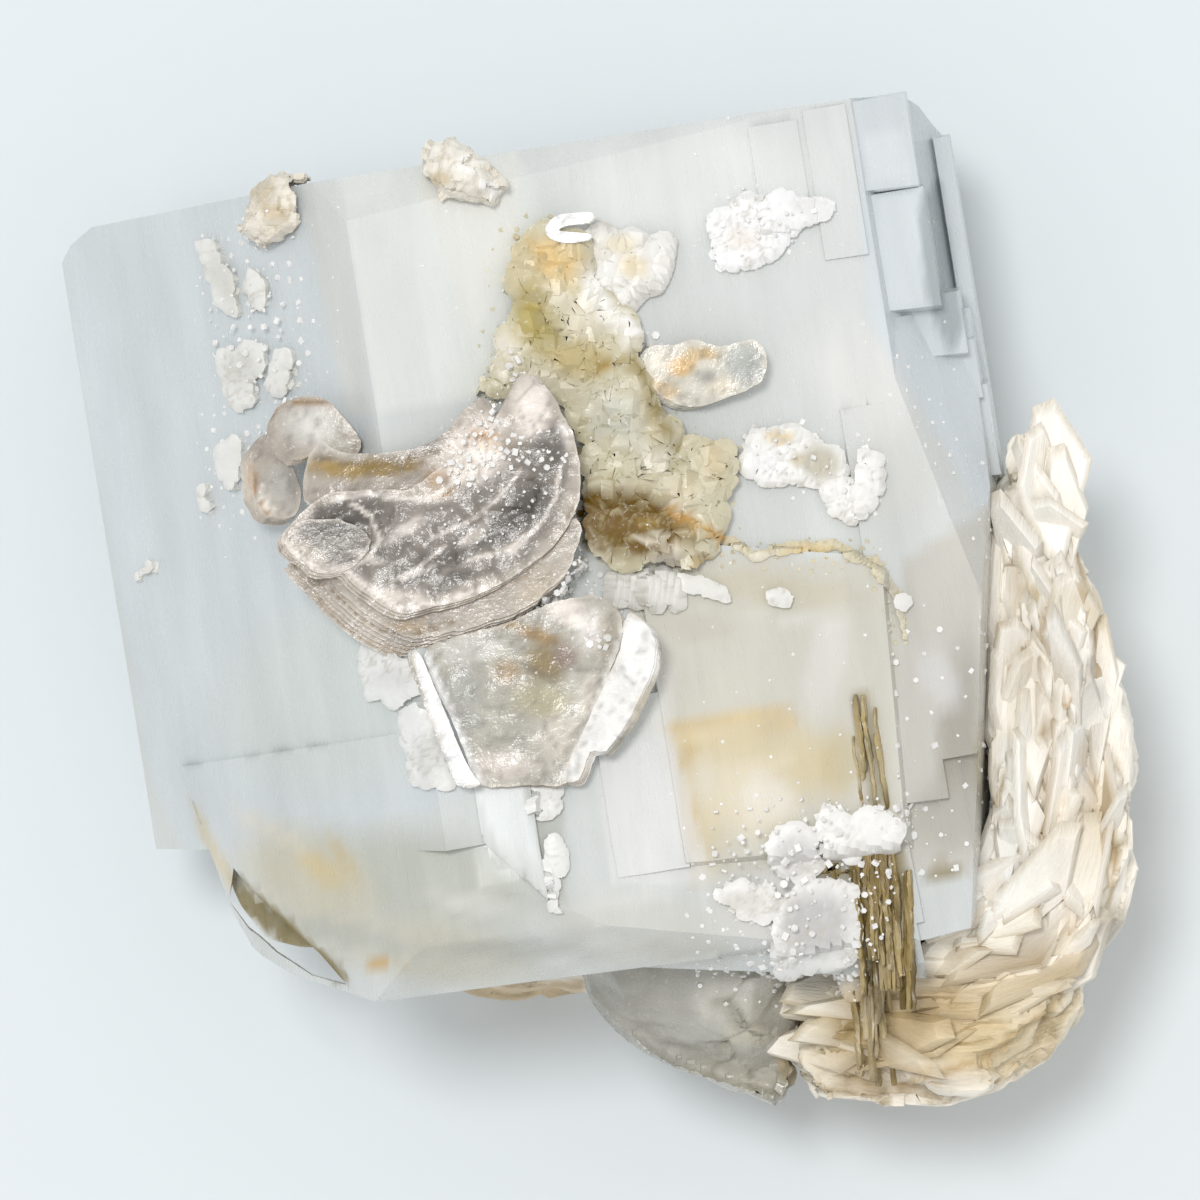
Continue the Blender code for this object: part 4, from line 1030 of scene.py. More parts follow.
sugar("albite_crust_middle", "albite_middle",
      [[(744, 432), (756, 426), (764, 434), (776, 430), (800, 432), (828, 446), (838, 464), (836, 480),
        (812, 480), (796, 474),
        (780, 478), (760, 482), (744, 470)],
       [(824, 482), (838, 478), (856, 486), (868, 502), (862, 514), (846, 518), (832, 506)],
       [(860, 452), (868, 448), (877, 470), (874, 492), (862, 484)]], 87,
      [("#e0c688", 0.7, 778, 436, 18, 8, 0), ("#c8c2ad", 0.9, 820, 460, 26, 22, 20),
       ("#cbb98f", 0.6, 796, 458, 10, 10, 0),
       ("#ffffff", 0.9, 768, 466, 24, 16, -30)], base="#fdfcf8", thick=0.45, grain=10, largest=0.8)
sugar("albite_crust_lower", "albite_lower",
      [[(776, 834), (800, 826), (818, 838), (816, 868), (806, 884), (784, 876), (772, 856)],
       [(816, 816), (832, 808), (846, 816), (872, 810), (898, 822), (896, 846), (872, 846), (852, 862),
        (826, 852)],
       [(774, 916), (788, 896), (820, 884), (856, 890), (858, 940), (850, 964), (812, 960), (786, 974),
        (776, 950)],
       [(716, 890), (748, 884), (780, 896), (770, 920), (738, 916)]], 91,
      [("#cbcac8", 1.0, 816, 924, 46, 42, 0), ("#dcdad8", 0.8, 795, 856, 24, 28, 0),
       ("#d5d1c6", 0.6, 745, 902, 34, 16, 0)],
      base="#faf9f5", thick=0.26, grain=15, spacing=0.5, largest=0.9)
sugar("albite_chips_left", "white_chips",
      [[(206, 240), (214, 238), (222, 256), (238, 286), (236, 308), (224, 300), (216, 276)],
       [(248, 286), (258, 274), (268, 284), (270, 302), (258, 310)],
       [(222, 356), (232, 344), (246, 352), (262, 346), (266, 366), (256, 396), (240, 402), (226, 384)],
       [(272, 380), (286, 352), (296, 356), (294, 386), (284, 394)],
       [(224, 444), (238, 436), (246, 470), (240, 492), (228, 478)],
       [(206, 488), (212, 484), (216, 508), (206, 512)],
       [(142, 572), (156, 562), (157, 568), (145, 577)]], 95,
      [("#d9d8d0", 0.7, 226, 280, 16, 40, -20), ("#dcdcd6", 0.7, 240, 370, 22, 26, 0)], base="#f4f3ee",
      thick=0.3, grain=12,
      spacing=0.9, largest=0.7)
sugar("albite_chips_side", "side_chips",
      [[(366, 660), (372, 650), (392, 652), (414, 660), (420, 690), (404, 702), (392, 692), (370, 694)],
       [(412, 712), (424, 704), (440, 730), (452, 782), (420, 786), (412, 768)],
       [(548, 836), (558, 838), (564, 862), (558, 872), (548, 866)],
       [(540, 868), (548, 866), (556, 896), (560, 906), (546, 902)],
       [(530, 790), (556, 788), (560, 804), (544, 812), (530, 806)]], 98,
      [("#dfe0dc", 0.9, 430, 755, 18, 34, 0), ("#e6e5e1", 0.7, 392, 680, 26, 16, 0)], base="#f6f6f3",
      thick=0.3, grain=11,
      spacing=0.8, largest=0.9)

# %% [markdown]
# ## The stained ridge
# Iron has run into a low, rough ridge between the mica and the inset crystal: ochre at its head, a dull
# green below, and olive in a deep hollow at its foot. It is one draped crust with grains on it.

# %% Stained ridge
RIDGE = [(510, 250), (514, 234), (530, 230), (556, 236), (584, 246), (590, 280), (606, 300), (632, 330),
         (640, 356),
         (652, 392), (664, 424), (680, 446), (704, 440), (728, 452), (732, 486), (716, 506), (722, 530),
         (706, 548),
         (690, 572), (660, 560), (620, 566), (590, 552), (575, 500), (578, 440), (566, 400), (524, 376),
         (480, 400),
         (492, 350), (512, 320), (506, 290)]


def ridge_relief(spots):
    hollow = 1 - soft_step(np.hypot((spots[:, 0] - 626) / 66, (spots[:, 1] - 522) / 32), 0.55, 1.1)
    swell = 1 + 0.6 * cloud(np.c_[spots, spots[:, 0] * 0], (40, 60, 1), 101)
    return np.clip(swell * (1 - 0.9 * hollow), 0.06, 3)


RIDGE_STROKES = [
    ("#d9cca6", 1.0, [(508, 230), (586, 240), (592, 290), (540, 296), (508, 290)], 5),
    ("#e9c98b", 1.0, 556, 262, 28, 20, 20), ("#e0bd7a", 0.8, 545, 248, 20, 12, 20),
    ("#f2deb0", 0.7, 566, 276, 16, 10, 30),
    ("#f7f1de", 0.9, 552, 293, 20, 8, 20),
    ("#b8a65a", 0.95, 534, 316, 24, 40, -10), ("#ab9c58", 0.8, 550, 342, 22, 18, 0),
    ("#ece4cf", 0.9, 588, 318, 22, 26, 0), ("#fffdf8", 1.0, 598, 294, 16, 32, -34),
    ("#fffdf8", 1.0, 626, 326, 42, 15, 36),
    ("#c8b680", 0.9, 578, 360, 36, 26, 0), ("#a88c42", 0.9, 604, 368, 14, 12, 0),
    ("#d8bd84", 0.8, 640, 410, 12, 40, -24),
    ("#f4efe4", 0.8, 506, 352, 18, 26, 0), ("#efe8da", 0.6, 535, 384, 26, 14, 0),
    ("#a39058", 0.9, 640, 372, 7, 24, -28), ("#a8976a", 0.8, 662, 424, 5, 30, -24),
    ("#d3d2c3", 0.9, 620, 420, 38, 50, 0), ("#d6cfb2", 0.7, 606, 458, 30, 26, 0),
    ("#f3eee0", 0.7, 652, 466, 14, 26, -30),
    ("#dccba6", 0.8, 714, 462, 16, 24, 0), ("#e5d9bd", 0.8, 676, 490, 24, 16, 20),
    ("#f6f1e6", 0.8, 668, 510, 18, 8, 20),
    ("#735610", 1.0, [(560, 500), (600, 487), (640, 489), (666, 505), (694, 532), (700, 546), (660, 552),
                      (626, 558), (598, 552), (576, 532)], 7),
    ("#9a7c30", 0.8, 646, 522, 16, 8, 10), ("#7d6a2c", 0.7, 606, 540, 24, 8, 6),
    ("#cdc6b0", 0.8, 660, 534, 18, 4, 8),
    ("#c08f38", 0.9, [(668, 510), (690, 522), (716, 536), (740, 546)], -7),
    ("#9c8a52", 0.8, [(634, 362), (650, 396), (664, 424), (676, 450)], -6),
    ("#efe6d0", 0.8, [(634, 536), (656, 543), (682, 550)], -4), ("#c7a460", 0.8, 700, 528, 18, 8, 24),
    ("#b09560", 0.8, 700, 564, 18, 10, 10), ("#a59c94", 0.7, 668, 562, 20, 10, 0),
]
ridge = join("iron_stained_ridge", [
    crust("ridge_bed", RIDGE, 0.8, 9.0, 2.4, 0.8, 101, edge=16, rag=9.0, lift=ridge_relief),
    grains("ridge_grains", RIDGE, STAINED, 103, 0.55, 0.12, 0.6, 0.5, carrier=ground, lift=0.3),
    grains("ridge_border", [(496, 222), (596, 226), (680, 420), (745, 440), (745, 560), (690, 590),
                            (570, 575), (560, 410),
                            (470, 410), (480, 330)], STAINED, 104, 0.9, 0.06, 0.32, 0.5, carrier=ground)])
painted(ridge, "#d6cfb4", RIDGE_STROKES, 104, 5.0)
finish(ridge, STAINED, ["stained_ridge"], sharp=28)

RUST_LINE = [(676, 513), (700, 526), (722, 535), (754, 551), (786, 541), (840, 541), (876, 561), (900, 594),
             (905, 640),
             (901, 640), (894, 598), (870, 568), (840, 549), (800, 552), (780, 553), (752, 559), (718, 543),
             (676, 519)]
rust = join("rust_line", [
    crust("rust_bed", RUST_LINE, 0.09, 5.0, 2.0, 0.8, 105, edge=2, rag=4.0, wall=0.12),
    grains("rust_grains", [(676, 508), (754, 542), (840, 534), (890, 560), (912, 640), (890, 640), (870, 580),
                           (800, 572),
                           (740, 566), (676, 530)], STAINED, 107, 0.45, 0.06, 0.3, 0.5, carrier=ground)])
painted(rust, "#dcd3b8", [("#d6a95a", 0.9, 715, 536, 14, 6, 24), ("#e6cf9a", 0.9, 812, 554, 34, 12, 0),
                          ("#f0ead9", 0.7, 760, 556, 20, 6, 0), ("#cfcabf", 0.8, 892, 600, 12, 40, -10)], 106,
                          3.0)
finish(rust, STAINED, sharp=28)

# %% [markdown]
# ## Mica books
# A book is a stack of leaves. One leaf is a flat patch bent by a function, and Geometry Nodes stacks copies
# of it downwards, each moved a little outwards, so the stack's edge shows as the bright, fine steps of a
# real book.

# %% The leaf stack
def stack_tree():
    """Stacks copies of one leaf, each moved, grown and turned a little from the last."""
    tree, given = new_tree("leaf_stack", [
        ("Leaves", "Int", 6), ("Step", "Vector", (0, 0, -0.0002)), ("Growth", "Float", 0.02),
        ("Turn", "Float", 0.03),
        ("Seed", "Int", 1), ("Material", "Material", None)])
    line = node(tree, "GeometryNodeMeshLine", {"Count": given["Leaves"], "Offset": given["Step"]})
    number = node(tree, "GeometryNodeInputIndex")
    larger = node(tree, "ShaderNodeMath", {0: number.outputs[0], 1: given["Growth"], 2: 1.0},
                  operation="MULTIPLY_ADD")
    wide = node(tree, "ShaderNodeCombineXYZ", {"X": larger.outputs[0], "Y": larger.outputs[0], "Z": 1.0})
    least = node(tree, "ShaderNodeMath", {0: given["Turn"], 1: -1.0}, operation="MULTIPLY")
    swing = node(tree, "FunctionNodeRandomValue",
                 {2: least.outputs[0], 3: given["Turn"], "Seed": given["Seed"]},
                 data_type="FLOAT")
    turn = node(tree, "ShaderNodeCombineXYZ", {"Z": swing.outputs[1]})
    placed = node(tree, "GeometryNodeInstanceOnPoints",
                  {"Points": line.outputs[0], "Instance": given["Geometry"], "Scale": wide.outputs[0],
                   "Rotation": turn.outputs[0]})
    make_real(tree, placed, given["Material"])
    return tree


STACK = stack_tree()


def leaves(name, outline, height, bend=None, count=1, step=(0, 0, -0.22), growth=0.0, turn=0.01, thick=0.10,
           rag=1.5,
           seed=1, cell=0.32, wrinkle=0.12, material=None, rim=0.13):
    """A stack of mica leaves. outline is in picture points, height and step in millimetres, and bend gives
    the height in millimetres that each place is raised by, from its offset to the middle."""
    drawn = ragged(smooth_outline(outline, 3), rag, seed)
    middle = at(*np.mean(drawn, axis=0), height)
    local = [((at(x, y, height) - middle).xy / MM)[:] for x, y in drawn]
    bm = flat_patch(local, cell)
    spots = np.array([v.co.xy[:] for v in bm.verts])
    flat = np.c_[spots, np.full(len(spots), float(seed))]
    up = bend(spots[:, 0], spots[:, 1]) if bend else np.zeros(len(spots))
    crumple, border = facets(flat, (1.5, 1.5, 90.0), seed, 1.2)
    up = up + wrinkle * (cloud(flat, 1.6, seed, 3) + 0.5 * crumple)
    edge = edge_distance(spots, local)
    for vert, rise in zip(bm.verts, up):
        vert.co = (vert.co.x * MM, vert.co.y * MM, rise * MM)
    made = bare(name, bm)
    bright = (1 - soft_step(edge, rim * 0.3, rim)) * 0.7 * soft_step(cloud(flat, 2.5, seed + 3), -0.5, 0.3)
    store(made, "rim", bright)
    # Darker along the borders of the crumples: painted shade in the wrinkles.
    store(made, "crease", 0.5 * (1 - soft_step(border, 0.0, 0.1)))
    solid = made.modifiers.new("thick", "SOLIDIFY")
    solid.thickness = thick * MM
    solid.offset = -1
    nodes_modifier(made, STACK, {"Leaves": count, "Step": [s * MM for s in step], "Growth": growth,
                                 "Turn": turn,
                                 "Seed": seed, "Material": material or MICA})
    settle(made)
    made.data.transform(Matrix.Translation(middle))
    return made


# %% The upper book
PLATE = [(281, 544), (292, 524), (325, 496), (345, 492), (384, 490), (412, 488), (446, 462), (480, 440),
         (505, 400),
         (524, 372), (552, 394), (577, 446), (578, 500), (558, 540), (520, 572), (474, 596), (420, 612),
         (396, 612),
         (360, 590), (340, 572), (320, 574), (300, 562)]
RIM = [(302, 548), (340, 552), (424, 586), (504, 572), (566, 520), (582, 530), (566, 572), (526, 608),
       (478, 624),
       (436, 636), (400, 634), (358, 608), (328, 578)]
SHELF = [(318, 440), (340, 452), (400, 452), (440, 436), (470, 408), (484, 398), (498, 420), (480, 452),
         (440, 480),
         (400, 494), (350, 500), (310, 506), (302, 480)]


def bowl(x, y):
    return 0.012 * (x * x * 0.5 + y * y) - 0.3 + 0.03 * x


upper_book = join("muscovite_book_upper", [
    leaves("shelf", SHELF, 37.8, lambda x, y: 0.02 * x * x + 0.05 * y, 6, (0.12, -0.16, -0.26), 0.0, 0.02,
           seed=111),
    leaves("rim", RIM, 38.2, lambda x, y: 0.04 * x + 0.06 * y, 7, (-0.15, -0.20, -0.34), 0.004, 0.012,
           seed=112, rag=1.6,
           wrinkle=0.06),
    leaves("plate", PLATE, 39.0, bowl, 3, (-0.13, -0.17, -0.24), 0.0, 0.008, seed=113, wrinkle=0.26,
           cell=0.2),
    leaves("lobe", [(283, 546), (300, 522), (340, 520), (372, 540), (352, 566), (322, 574), (298, 562)], 39.1,
           lambda x, y: 0.05 * x - 0.02 * y * y, 3, (-0.05, -0.1, -0.16), 0.01, 0.02, seed=116, wrinkle=0.08),
    leaves("ring", [(276, 436), (278, 414), (300, 398), (324, 400), (342, 416), (362, 440), (352, 458),
                    (320, 452), (294, 460)],
           36.0, lambda x, y: 0.34 * x - 0.06 * (x * x + y * y), 5, (-0.06, -0.05, -0.25), 0.02, 0.03,
           seed=114,
           wrinkle=0.05),
    leaves("chip", [(250, 470), (256, 452), (272, 438), (280, 450), (296, 470), (302, 496), (296, 516),
                    (268, 518), (256, 500)],
           33.0, lambda x, y: 0.7 * x, 7, (-0.07, -0.02, -0.3), 0.02, 0.02, seed=115, wrinkle=0.08),
])
BOOK_STROKES = [
    ("#57524c", 0.9, 345, 516, 46, 18, -18), ("#524c46", 0.8, 330, 512, 24, 12, -20),
    ("#cfc6b8", 0.7, 306, 552, 26, 12, 10),
    ("#5c5650", 0.9, 500, 525, 54, 20, -30), ("#514b46", 0.9, 530, 500, 34, 22, -50),
    ("#5c5650", 0.8, 420, 568, 40, 18, -24),
    ("#635f5a", 0.8, 450, 585, 30, 10, -24), ("#7f7971", 0.6, 390, 545, 26, 12, -30),
    ("#69625a", 0.9, 548, 450, 20, 26, 10),
    ("#ddd3c8", 0.9, 420, 520, 50, 14, -28), ("#e6dcd1", 0.8, 470, 560, 60, 9, -32),
    ("#e9dfd5", 0.8, 395, 590, 50, 12, 18),
    ("#efe5da", 0.9, 455, 458, 34, 26, -30), ("#f3e9e0", 1.0, 478, 436, 34, 22, -40),
    ("#f2e8de", 0.9, 530, 404, 22, 40, 0),
    ("#fbf6f0", 0.8, 556, 440, 16, 20, 20), ("#a9988a", 0.6, 505, 452, 24, 14, -20),
    ("#a07a44", 0.8, 442, 492, 22, 7, -10),
    ("#b28a58", 0.6, 436, 478, 16, 8, 0), ("#c89a62", 0.8, 484, 436, 20, 6, 4),
    ("#e3c8a4", 0.6, 490, 448, 20, 8, 0),
    # The brown and grey strokes of the band on the shelf, along the plate's upper edge, are darkened as
    # painted shade.
    ("#a48a52", 1.0, 350, 468, 60, 12, 4), ("#94793c", 0.9, 390, 470, 46, 9, -6),
    ("#b08a48", 0.8, 404, 420, 20, 8, -10),
    ("#75706a", 0.9, 422, 444, 24, 12, -10), ("#857f6c", 0.6, 372, 446, 20, 8, 0),
    ("#d8d5cb", 1.0, 312, 424, 26, 20, 10), ("#f3eee4", 0.9, 322, 416, 14, 10, 20),
    ("#c8c4b8", 0.7, 340, 444, 20, 10, 20),
    ("#9d9992", 1.0, 284, 486, 16, 24, -18), ("#f5ecdf", 1.0, 260, 498, 7, 24, -26),
    ("#b08c5c", 0.9, 252, 478, 4, 20, 0),
    ("#a2815a", 0.8, 300, 398, 24, 3, -4), ("#b3905c", 0.5, 410, 628, 30, 7, 10),
    ("#e8dccb", 0.8, 500, 630, 60, 12, -20),
    ("#cdbfa8", 0.7, 540, 590, 30, 24, -40),
]
LENS = [(294, 530), (330, 500), (400, 500), (452, 500), (520, 446), (556, 420), (572, 480), (548, 538),
        (502, 574),
        (432, 596), (380, 586), (330, 566)]
BOOK_LINES = [
    ("#6c6660", 0.66, LENS, 7), ("#f8efe6", 0.8, 484, 466, 34, 22, -34),
    ("#f6ede4", 0.8, 536, 410, 20, 34, 0), ("#e8e6de", 0.9, 312, 426, 34, 26, 10),
    ("#d2cec6", 0.7, 280, 488, 14, 30, -18),
    ("#f7efe4", 0.9, 262, 500, 7, 24, -26), ("#b98f5e", 0.8, 252, 480, 4, 18, 0),
    ("#5b554f", 0.8, 350, 524, 40, 12, -14), ("#57514b", 0.8, 524, 514, 34, 12, -46),
    ("#635d57", 0.7, 450, 562, 40, 9, -28),
    ("#e9e1d8", 0.8, 404, 532, 30, 7, -30), ("#e2d9cf", 0.7, 474, 534, 8, 26, 40),
    ("#efe7de", 0.7, 366, 556, 24, 5, 16),
    ("#e2d9cf", 0.7, 420, 572, 26, 5, -20), ("#f1e9e1", 0.7, 512, 548, 20, 4, -34),
    ("#8a7558", 0.8, [(284, 548), (298, 572), (330, 590), (352, 612), (384, 630), (420, 634), (452, 622)],
     -3),
    ("#a58d6c", 0.7, [(300, 574), (330, 612), (362, 640), (392, 650), (430, 650)], -3),
    ("#9b8468", 0.6, [(420, 618), (470, 602), (520, 578), (560, 542), (576, 500)], -3),
    ("#f7efe6", 0.9, [(283, 542), (300, 560), (322, 572), (344, 570), (372, 590), (400, 608), (440, 604),
                      (486, 588)], -4),
    ("#f4ebe1", 0.8, [(344, 570), (366, 560), (380, 540), (372, 516), (350, 504)], -3),
    ("#f7efe6", 0.8, [(330, 500), (372, 494), (420, 500), (452, 486), (478, 470)], -4),
    ("#efe6dc", 0.8, [(470, 560), (500, 552), (536, 528), (556, 500), (562, 460)], -3),
    ("#efe6dc", 0.7, [(430, 540), (466, 524), (498, 498), (520, 470)], -3),
    ("#e9dfd4", 0.7, [(392, 580), (420, 566), (444, 548)], -3),
    ("#8b6f4c", 0.8, [(273, 416), (286, 402), (301, 399), (332, 404), (345, 414), (353, 425)], -3),
    # a dark brown line of painted shade along the plate's upper edge
    ("#7f6a45", 0.8, [(316, 456), (350, 462), (400, 462), (438, 452)], -4),
    ("#a07a4c", 0.8, [(252, 474), (256, 496), (266, 514)], -3),
]
# The dark strokes go on after the pale ones, and the lines last.
painted(upper_book, "#bdb4a8", sorted(BOOK_STROKES, key=lambda s: s[0] < "#9f") + BOOK_LINES, 117, 6.0)
finish(upper_book, MICA, ["mica_book_upper"], sharp=40)

# %% The lower book
FACE = [(424, 658), (448, 640), (480, 632), (520, 618), (560, 600), (600, 596), (622, 616), (618, 650),
        (604, 690),
        (586, 740), (568, 782), (520, 786), (480, 784), (456, 730)]
lower_book = join("muscovite_book_lower", [
    leaves("face", FACE, 37.8, lambda x, y: 0.02 * x + 0.06 * y - 0.02 * x * x, 6, (0.03, -0.03, -0.2), 0.0,
           0.01,
           seed=121, wrinkle=0.2),
    leaves("left_blade", [(412, 656), (420, 654), (432, 680), (450, 724), (470, 770), (480, 784), (460, 786),
                          (446, 752),
                          (428, 706)], 38.6, lambda x, y: 0.05 * y, 3, (-0.12, 0, -0.25), 0.0, 0.01, seed=122,
                          rag=0.8,
           wrinkle=0.05),
    leaves("right_blade", [(628, 614), (640, 618), (654, 636), (655, 664), (644, 690), (626, 724), (606, 750),
                           (590, 752),
                           (578, 780), (562, 778), (568, 760), (586, 724), (602, 690), (620, 650)], 38.7,
           lambda x, y: 0.2 * x + 0.12 * y, 6, (0.07, -0.05, -0.2), 0.0, 0.01, seed=123, rag=1.0,
           wrinkle=0.05),
])
painted(lower_book, "#bcb8ac", [
    ("#b3b3ac", 0.9, 462, 690, 26, 30, 0), ("#a9aaa2", 0.8, 470, 722, 18, 14, 0),
    ("#d8d6cd", 0.9, 470, 650, 44, 18, -10),
    ("#97783a", 0.9, 506, 620, 22, 8, 20), ("#a58450", 0.9, 540, 636, 30, 10, 20),
    ("#8d7a50", 0.9, 545, 664, 26, 22, 20),
    ("#a3855a", 0.7, 508, 672, 16, 16, 0), ("#b7b08f", 0.8, 540, 700, 34, 24, 0),
    ("#8c7468", 0.8, 566, 656, 14, 14, 0),
    ("#f4ebe2", 1.0, 570, 612, 30, 16, 30), ("#fbf5ee", 0.9, 590, 630, 16, 26, 0),
    ("#c9bfae", 0.8, 606, 640, 12, 30, 0),
    ("#e4dad0", 0.7, 500, 768, 50, 16, 0), ("#dcd4c6", 0.6, 556, 740, 26, 30, 20),
    ("#efe7dc", 0.6, 585, 700, 10, 40, 20),
    ("#ffffff", 1.0, [(412, 650), (428, 652), (484, 786), (456, 788), (426, 710)], 2),
    ("#fffefa", 1.0, [(626, 612), (660, 620), (660, 690), (600, 760), (578, 784), (560, 780), (600, 690)], 2),
    ("#e9dcbb", 0.7, 646, 706, 8, 40, 24),
], 124, 5.0)
finish(lower_book, MICA, ["mica_book_lower"], sharp=40)

# %% The smoky tongue, the cleft and the seam
TONGUE = [(644, 360), (652, 346), (674, 346), (690, 340), (716, 346), (734, 342), (754, 340), (767, 354),
          (764, 378),
          (742, 392), (716, 400), (690, 408), (664, 398), (650, 380)]
tongue = leaves("smoky_mica_tongue", TONGUE, 35.2, lambda x, y: -0.05 * x - 0.03 * y * y, 5,
                (-0.1, -0.04, -0.22), 0.0,
                0.02, seed=131, wrinkle=0.1, rim=0.1)
painted(tongue, "#dcd8ca", [
    ("#b4b6b0", 1.0, 744, 364, 26, 26, 0), ("#f5eedd", 1.0, 660, 362, 12, 16, 0),
    ("#e3b974", 0.9, 682, 364, 16, 12, 0),
    ("#c9a868", 0.8, 700, 352, 22, 8, 0), ("#efe4cc", 0.8, 720, 386, 18, 10, 0),
    ("#a9a6a0", 0.7, 706, 376, 12, 10, 0),
    ("#d9b983", 0.7, 666, 388, 18, 12, 20)], 132, 5.0)
finish(tongue, MICA, ["mica_tongue"], sharp=40)

SEAM_LINES = [
    # where a bundle of sheets starts and ends, in picture points, how wide it is and how many sheets it has
    ((856, 694), (868, 806), 22, 5), ((870, 706), (884, 810), 12, 3), ((864, 850), (870, 960), 24, 18),
    ((882, 840), (892, 990), 24, 22), ((868, 900), (874, 1040), 20, 9), ((878, 960), (884, 1086), 22, 7),
    ((902, 870), (908, 1010), 14, 8), ((850, 990), (856, 1090), 22, 6), ((824, 862), (846, 880), 26, 5),
]
sheets = []
rng = np.random.default_rng(7)
for (x0, y0), (x1, y1), wide, count in SEAM_LINES:
    for _ in range(count):
        a, b = sorted(rng.uniform(0, 1, 2))
        a, b = max(0, a - 0.25), min(1, b + 0.25)
        side = rng.uniform(-0.5, 0.5) * wide
        ax, ay = x0 + (x1 - x0) * a + side, y0 + (y1 - y0) * a
        bx, by = x0 + (x1 - x0) * b + side, y0 + (y1 - y0) * b
        half = rng.uniform(0.9, 2.2)
        outline = [(ax, ay), (ax + half, ay + 8), ((ax + bx) / 2 + half * 1.2, (ay + by) / 2),
                   (bx + half, by - 8), (bx, by),
                   (bx - half, by - 8), ((ax + bx) / 2 - half, (ay + by) / 2), (ax - half, ay + 10)]
        high = lay((ax + bx) / 2, (ay + by) / 2)[0].z / MM
        lean = rng.uniform(-0.6, 0.9)
        high += rng.uniform(-0.1, 0.35)
        sheets.append(leaves(f"seam_{len(sheets)}", outline, high, lambda x, y: lean * x + 0.03 * y, 3,
                             (0.05, 0.0, -0.25), 0.0, 0.02, seed=140 + len(sheets), material=SEAM, rim=0.08,
                             wrinkle=0.2, rag=1.4, thick=0.2))
seam = join("brown_mica_seam", sheets)
painted(seam, "#6f5a2b", [
    ("#b5a883", 0.9, 862, 740, 24, 60, 0), ("#c9bd98", 0.7, 880, 770, 10, 50, 0),
    ("#7b6838", 0.8, 868, 930, 16, 60, 0),
    ("#cdbfa0", 0.7, 882, 980, 6, 40, 0), ("#bfae88", 0.8, 870, 1050, 30, 40, 0),
    ("#a18d5c", 0.6, 900, 960, 8, 50, 0),
    ("#8f7d4a", 0.9, 832, 874, 26, 16, 0), ("#e5dcc8", 0.6, 868, 1020, 8, 30, 0)], 149, 4.0)
finish(seam, SEAM, ["mica_seam", "mica_cleft"], sharp=40)

# %% [markdown]
# ## Small things on the crystal
# A ring of white mica at the head of the ridge, a comb of fibres where the inset crystal begins, and specks
# of albite that grew wherever they found a hold.

# %% Ring, comb and specks
ring = leaves("white_mica_ring", [(545, 228), (556, 216), (578, 213), (594, 214), (590, 223), (566, 226),
                                  (560, 231),
                                  (588, 234), (590, 240), (566, 243), (550, 238)], 36.8,
              lambda x, y: 0.05 * (x * x + y * y) - 0.1, 4, (0, 0, -0.22), 0.01, 0.03, seed=151, cell=0.25,
              rag=0.5,
              wrinkle=0.03)
painted(ring, "#ffffff", [("#f3ddc0", 0.8, 580, 230, 12, 5, 0)], 152)
finish(ring, MICA, sharp=40)

ribs = []
for i in range(11):
    x = 610 + i * 6.4
    top = 578 + 4 * math.sin(i * 2.1)
    rib = [(x, top), (x + 3.4, top - 1), (x + 5.4, top + 24 + 5 * math.cos(i * 1.7)), (x + 2.2, top + 26)]
    ribs.append(crust(f"rib_{i}", rib, 0.35, 6.0, 2.0, 0.3, 160 + i, edge=1.2, rag=0.6, wall=0.2))
comb = join("comb_of_fibres", ribs + [
    crust("comb_chunk_0", [(676, 574), (700, 578), (724, 588), (728, 602), (704, 598), (680, 588)], 0.14, 9,
          seed=172),
    crust("comb_chunk_1", [(766, 592), (778, 588), (792, 596), (784, 608), (770, 604)], 0.14, 7, seed=173),
    crust("comb_chunk_2", [(896, 598), (904, 597), (908, 604), (902, 611), (895, 606)], 0.16, 7, seed=174)])
painted(comb, "#f1f0ea", [("#d9d8cf", 0.6, 640, 606, 40, 8, 0)], 175)
finish(comb, ALBITE, sharp=24)

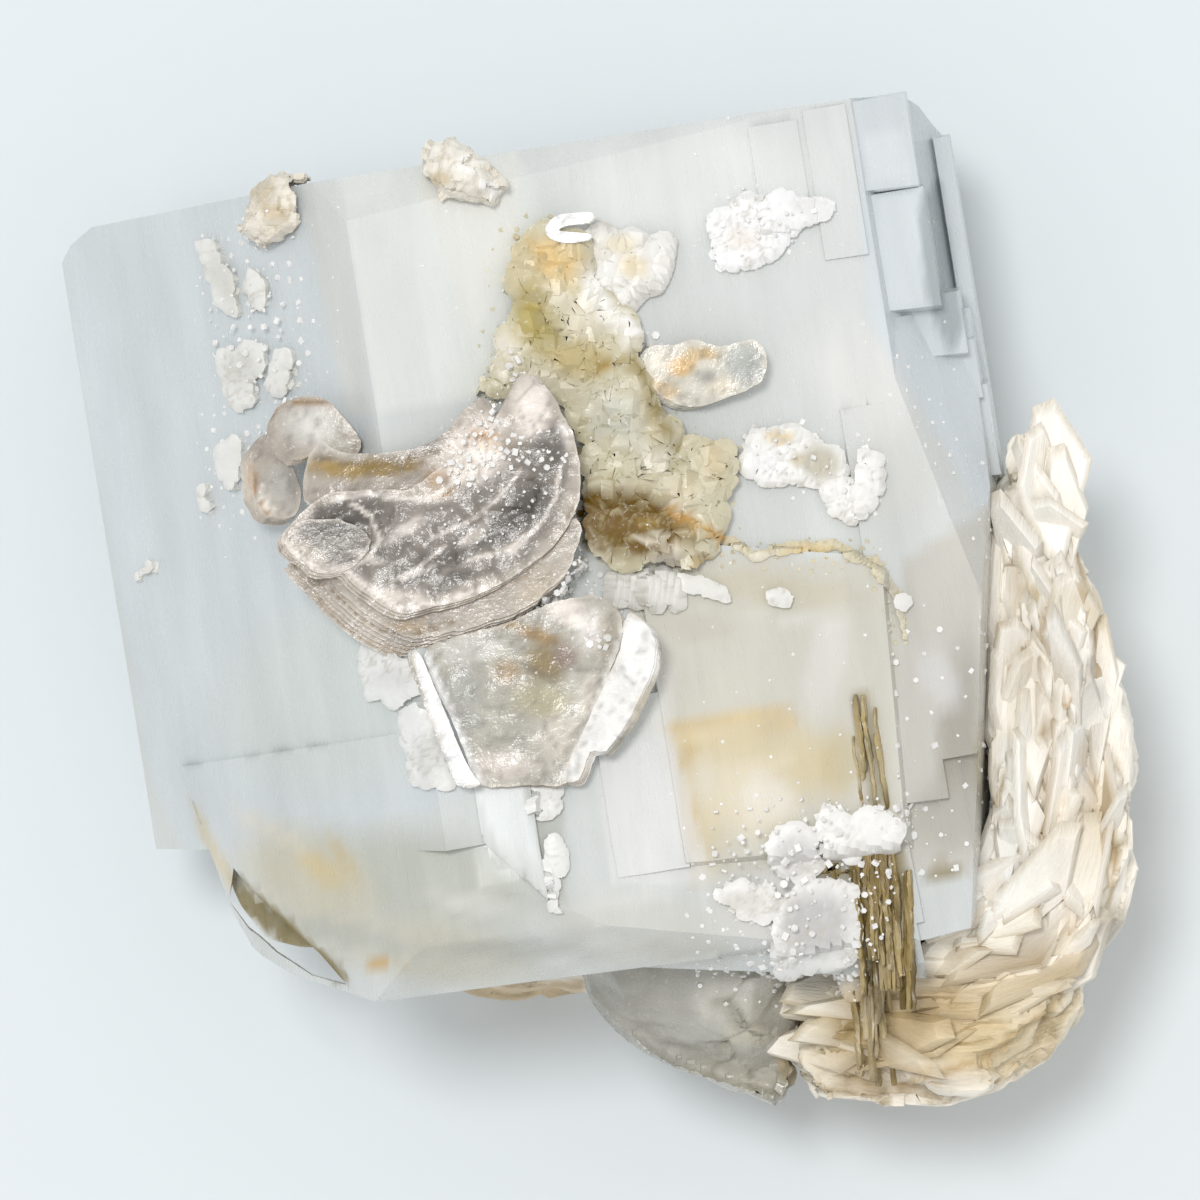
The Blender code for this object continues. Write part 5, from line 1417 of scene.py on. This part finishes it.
# name, outline in picture points, seed, and in millimetres the spacing, the smallest and the largest grain
SPECKS = [
    ("specks_block", [(560, 560), (660, 560), (880, 580), (900, 760), (880, 860), (700, 880), (600, 700)],
     154, 2.0, 0.05, 0.22),
    ("specks_top", [(340, 190), (860, 110), (960, 400), (880, 560), (560, 560), (520, 360), (400, 320)], 155,
     2.8, 0.05, 0.18),
    ("specks_low", [(700, 800), (820, 800), (900, 800), (990, 860), (900, 900), (860, 1000), (700, 1000)],
     156, 0.9, 0.06, 0.3),
    ("specks_left", [(200, 240), (330, 230), (330, 420), (240, 560), (200, 500)], 157, 1.8, 0.05, 0.22),
    ("specks_border", [(858, 330), (884, 330), (950, 430), (1000, 480), (1010, 580), (960, 520), (900, 420)],
     158, 1.1, 0.06, 0.30),
    ("specks_book", [(430, 440), (520, 380), (572, 440), (576, 540), (620, 600), (600, 640), (480, 600)], 159,
     0.6, 0.06, 0.22),
    ("sugar_book", [(436, 480), (470, 430), (504, 396), (530, 378), (566, 430), (560, 470), (520, 462),
                    (484, 484)], 161, 0.30, 0.12, 0.42),
    ("sugar_between", [(548, 566), (580, 560), (628, 606), (612, 650), (576, 640), (530, 606)], 162, 0.34,
     0.12, 0.45),
    ("sugar_head", [(500, 330), (560, 280), (600, 290), (672, 350), (640, 366), (590, 330), (540, 380),
                    (510, 380)], 163, 0.5, 0.12, 0.5),
    ("sugar_patch", [(700, 200), (760, 184), (838, 196), (830, 226), (800, 262), (730, 280), (704, 260)], 164,
     0.7, 0.06, 0.35),
    ("sugar_middle", [(736, 424), (800, 420), (880, 440), (884, 500), (860, 524), (820, 500), (740, 490)],
     165, 0.7, 0.06, 0.35),
    ("sugar_left", [(196, 232), (300, 270), (310, 400), (250, 510), (200, 520), (214, 360)], 166, 0.9, 0.06,
     0.4),
    ("sugar_low", [(690, 880), (780, 820), (910, 800), (910, 860), (866, 970), (780, 990)], 167, 0.75, 0.07,
     0.5),
    ("sugar_column", [(904, 600), (990, 640), (1000, 860), (960, 880), (904, 860), (890, 700)], 168, 1.5,
     0.05, 0.4),
]
specks = join("albite_specks", [grains(name, outline, ALBITE, *sizes) for name, outline, *sizes in SPECKS])
painted(specks, "#fbfaf7", [], 160)
finish(specks, ALBITE, sharp=30)
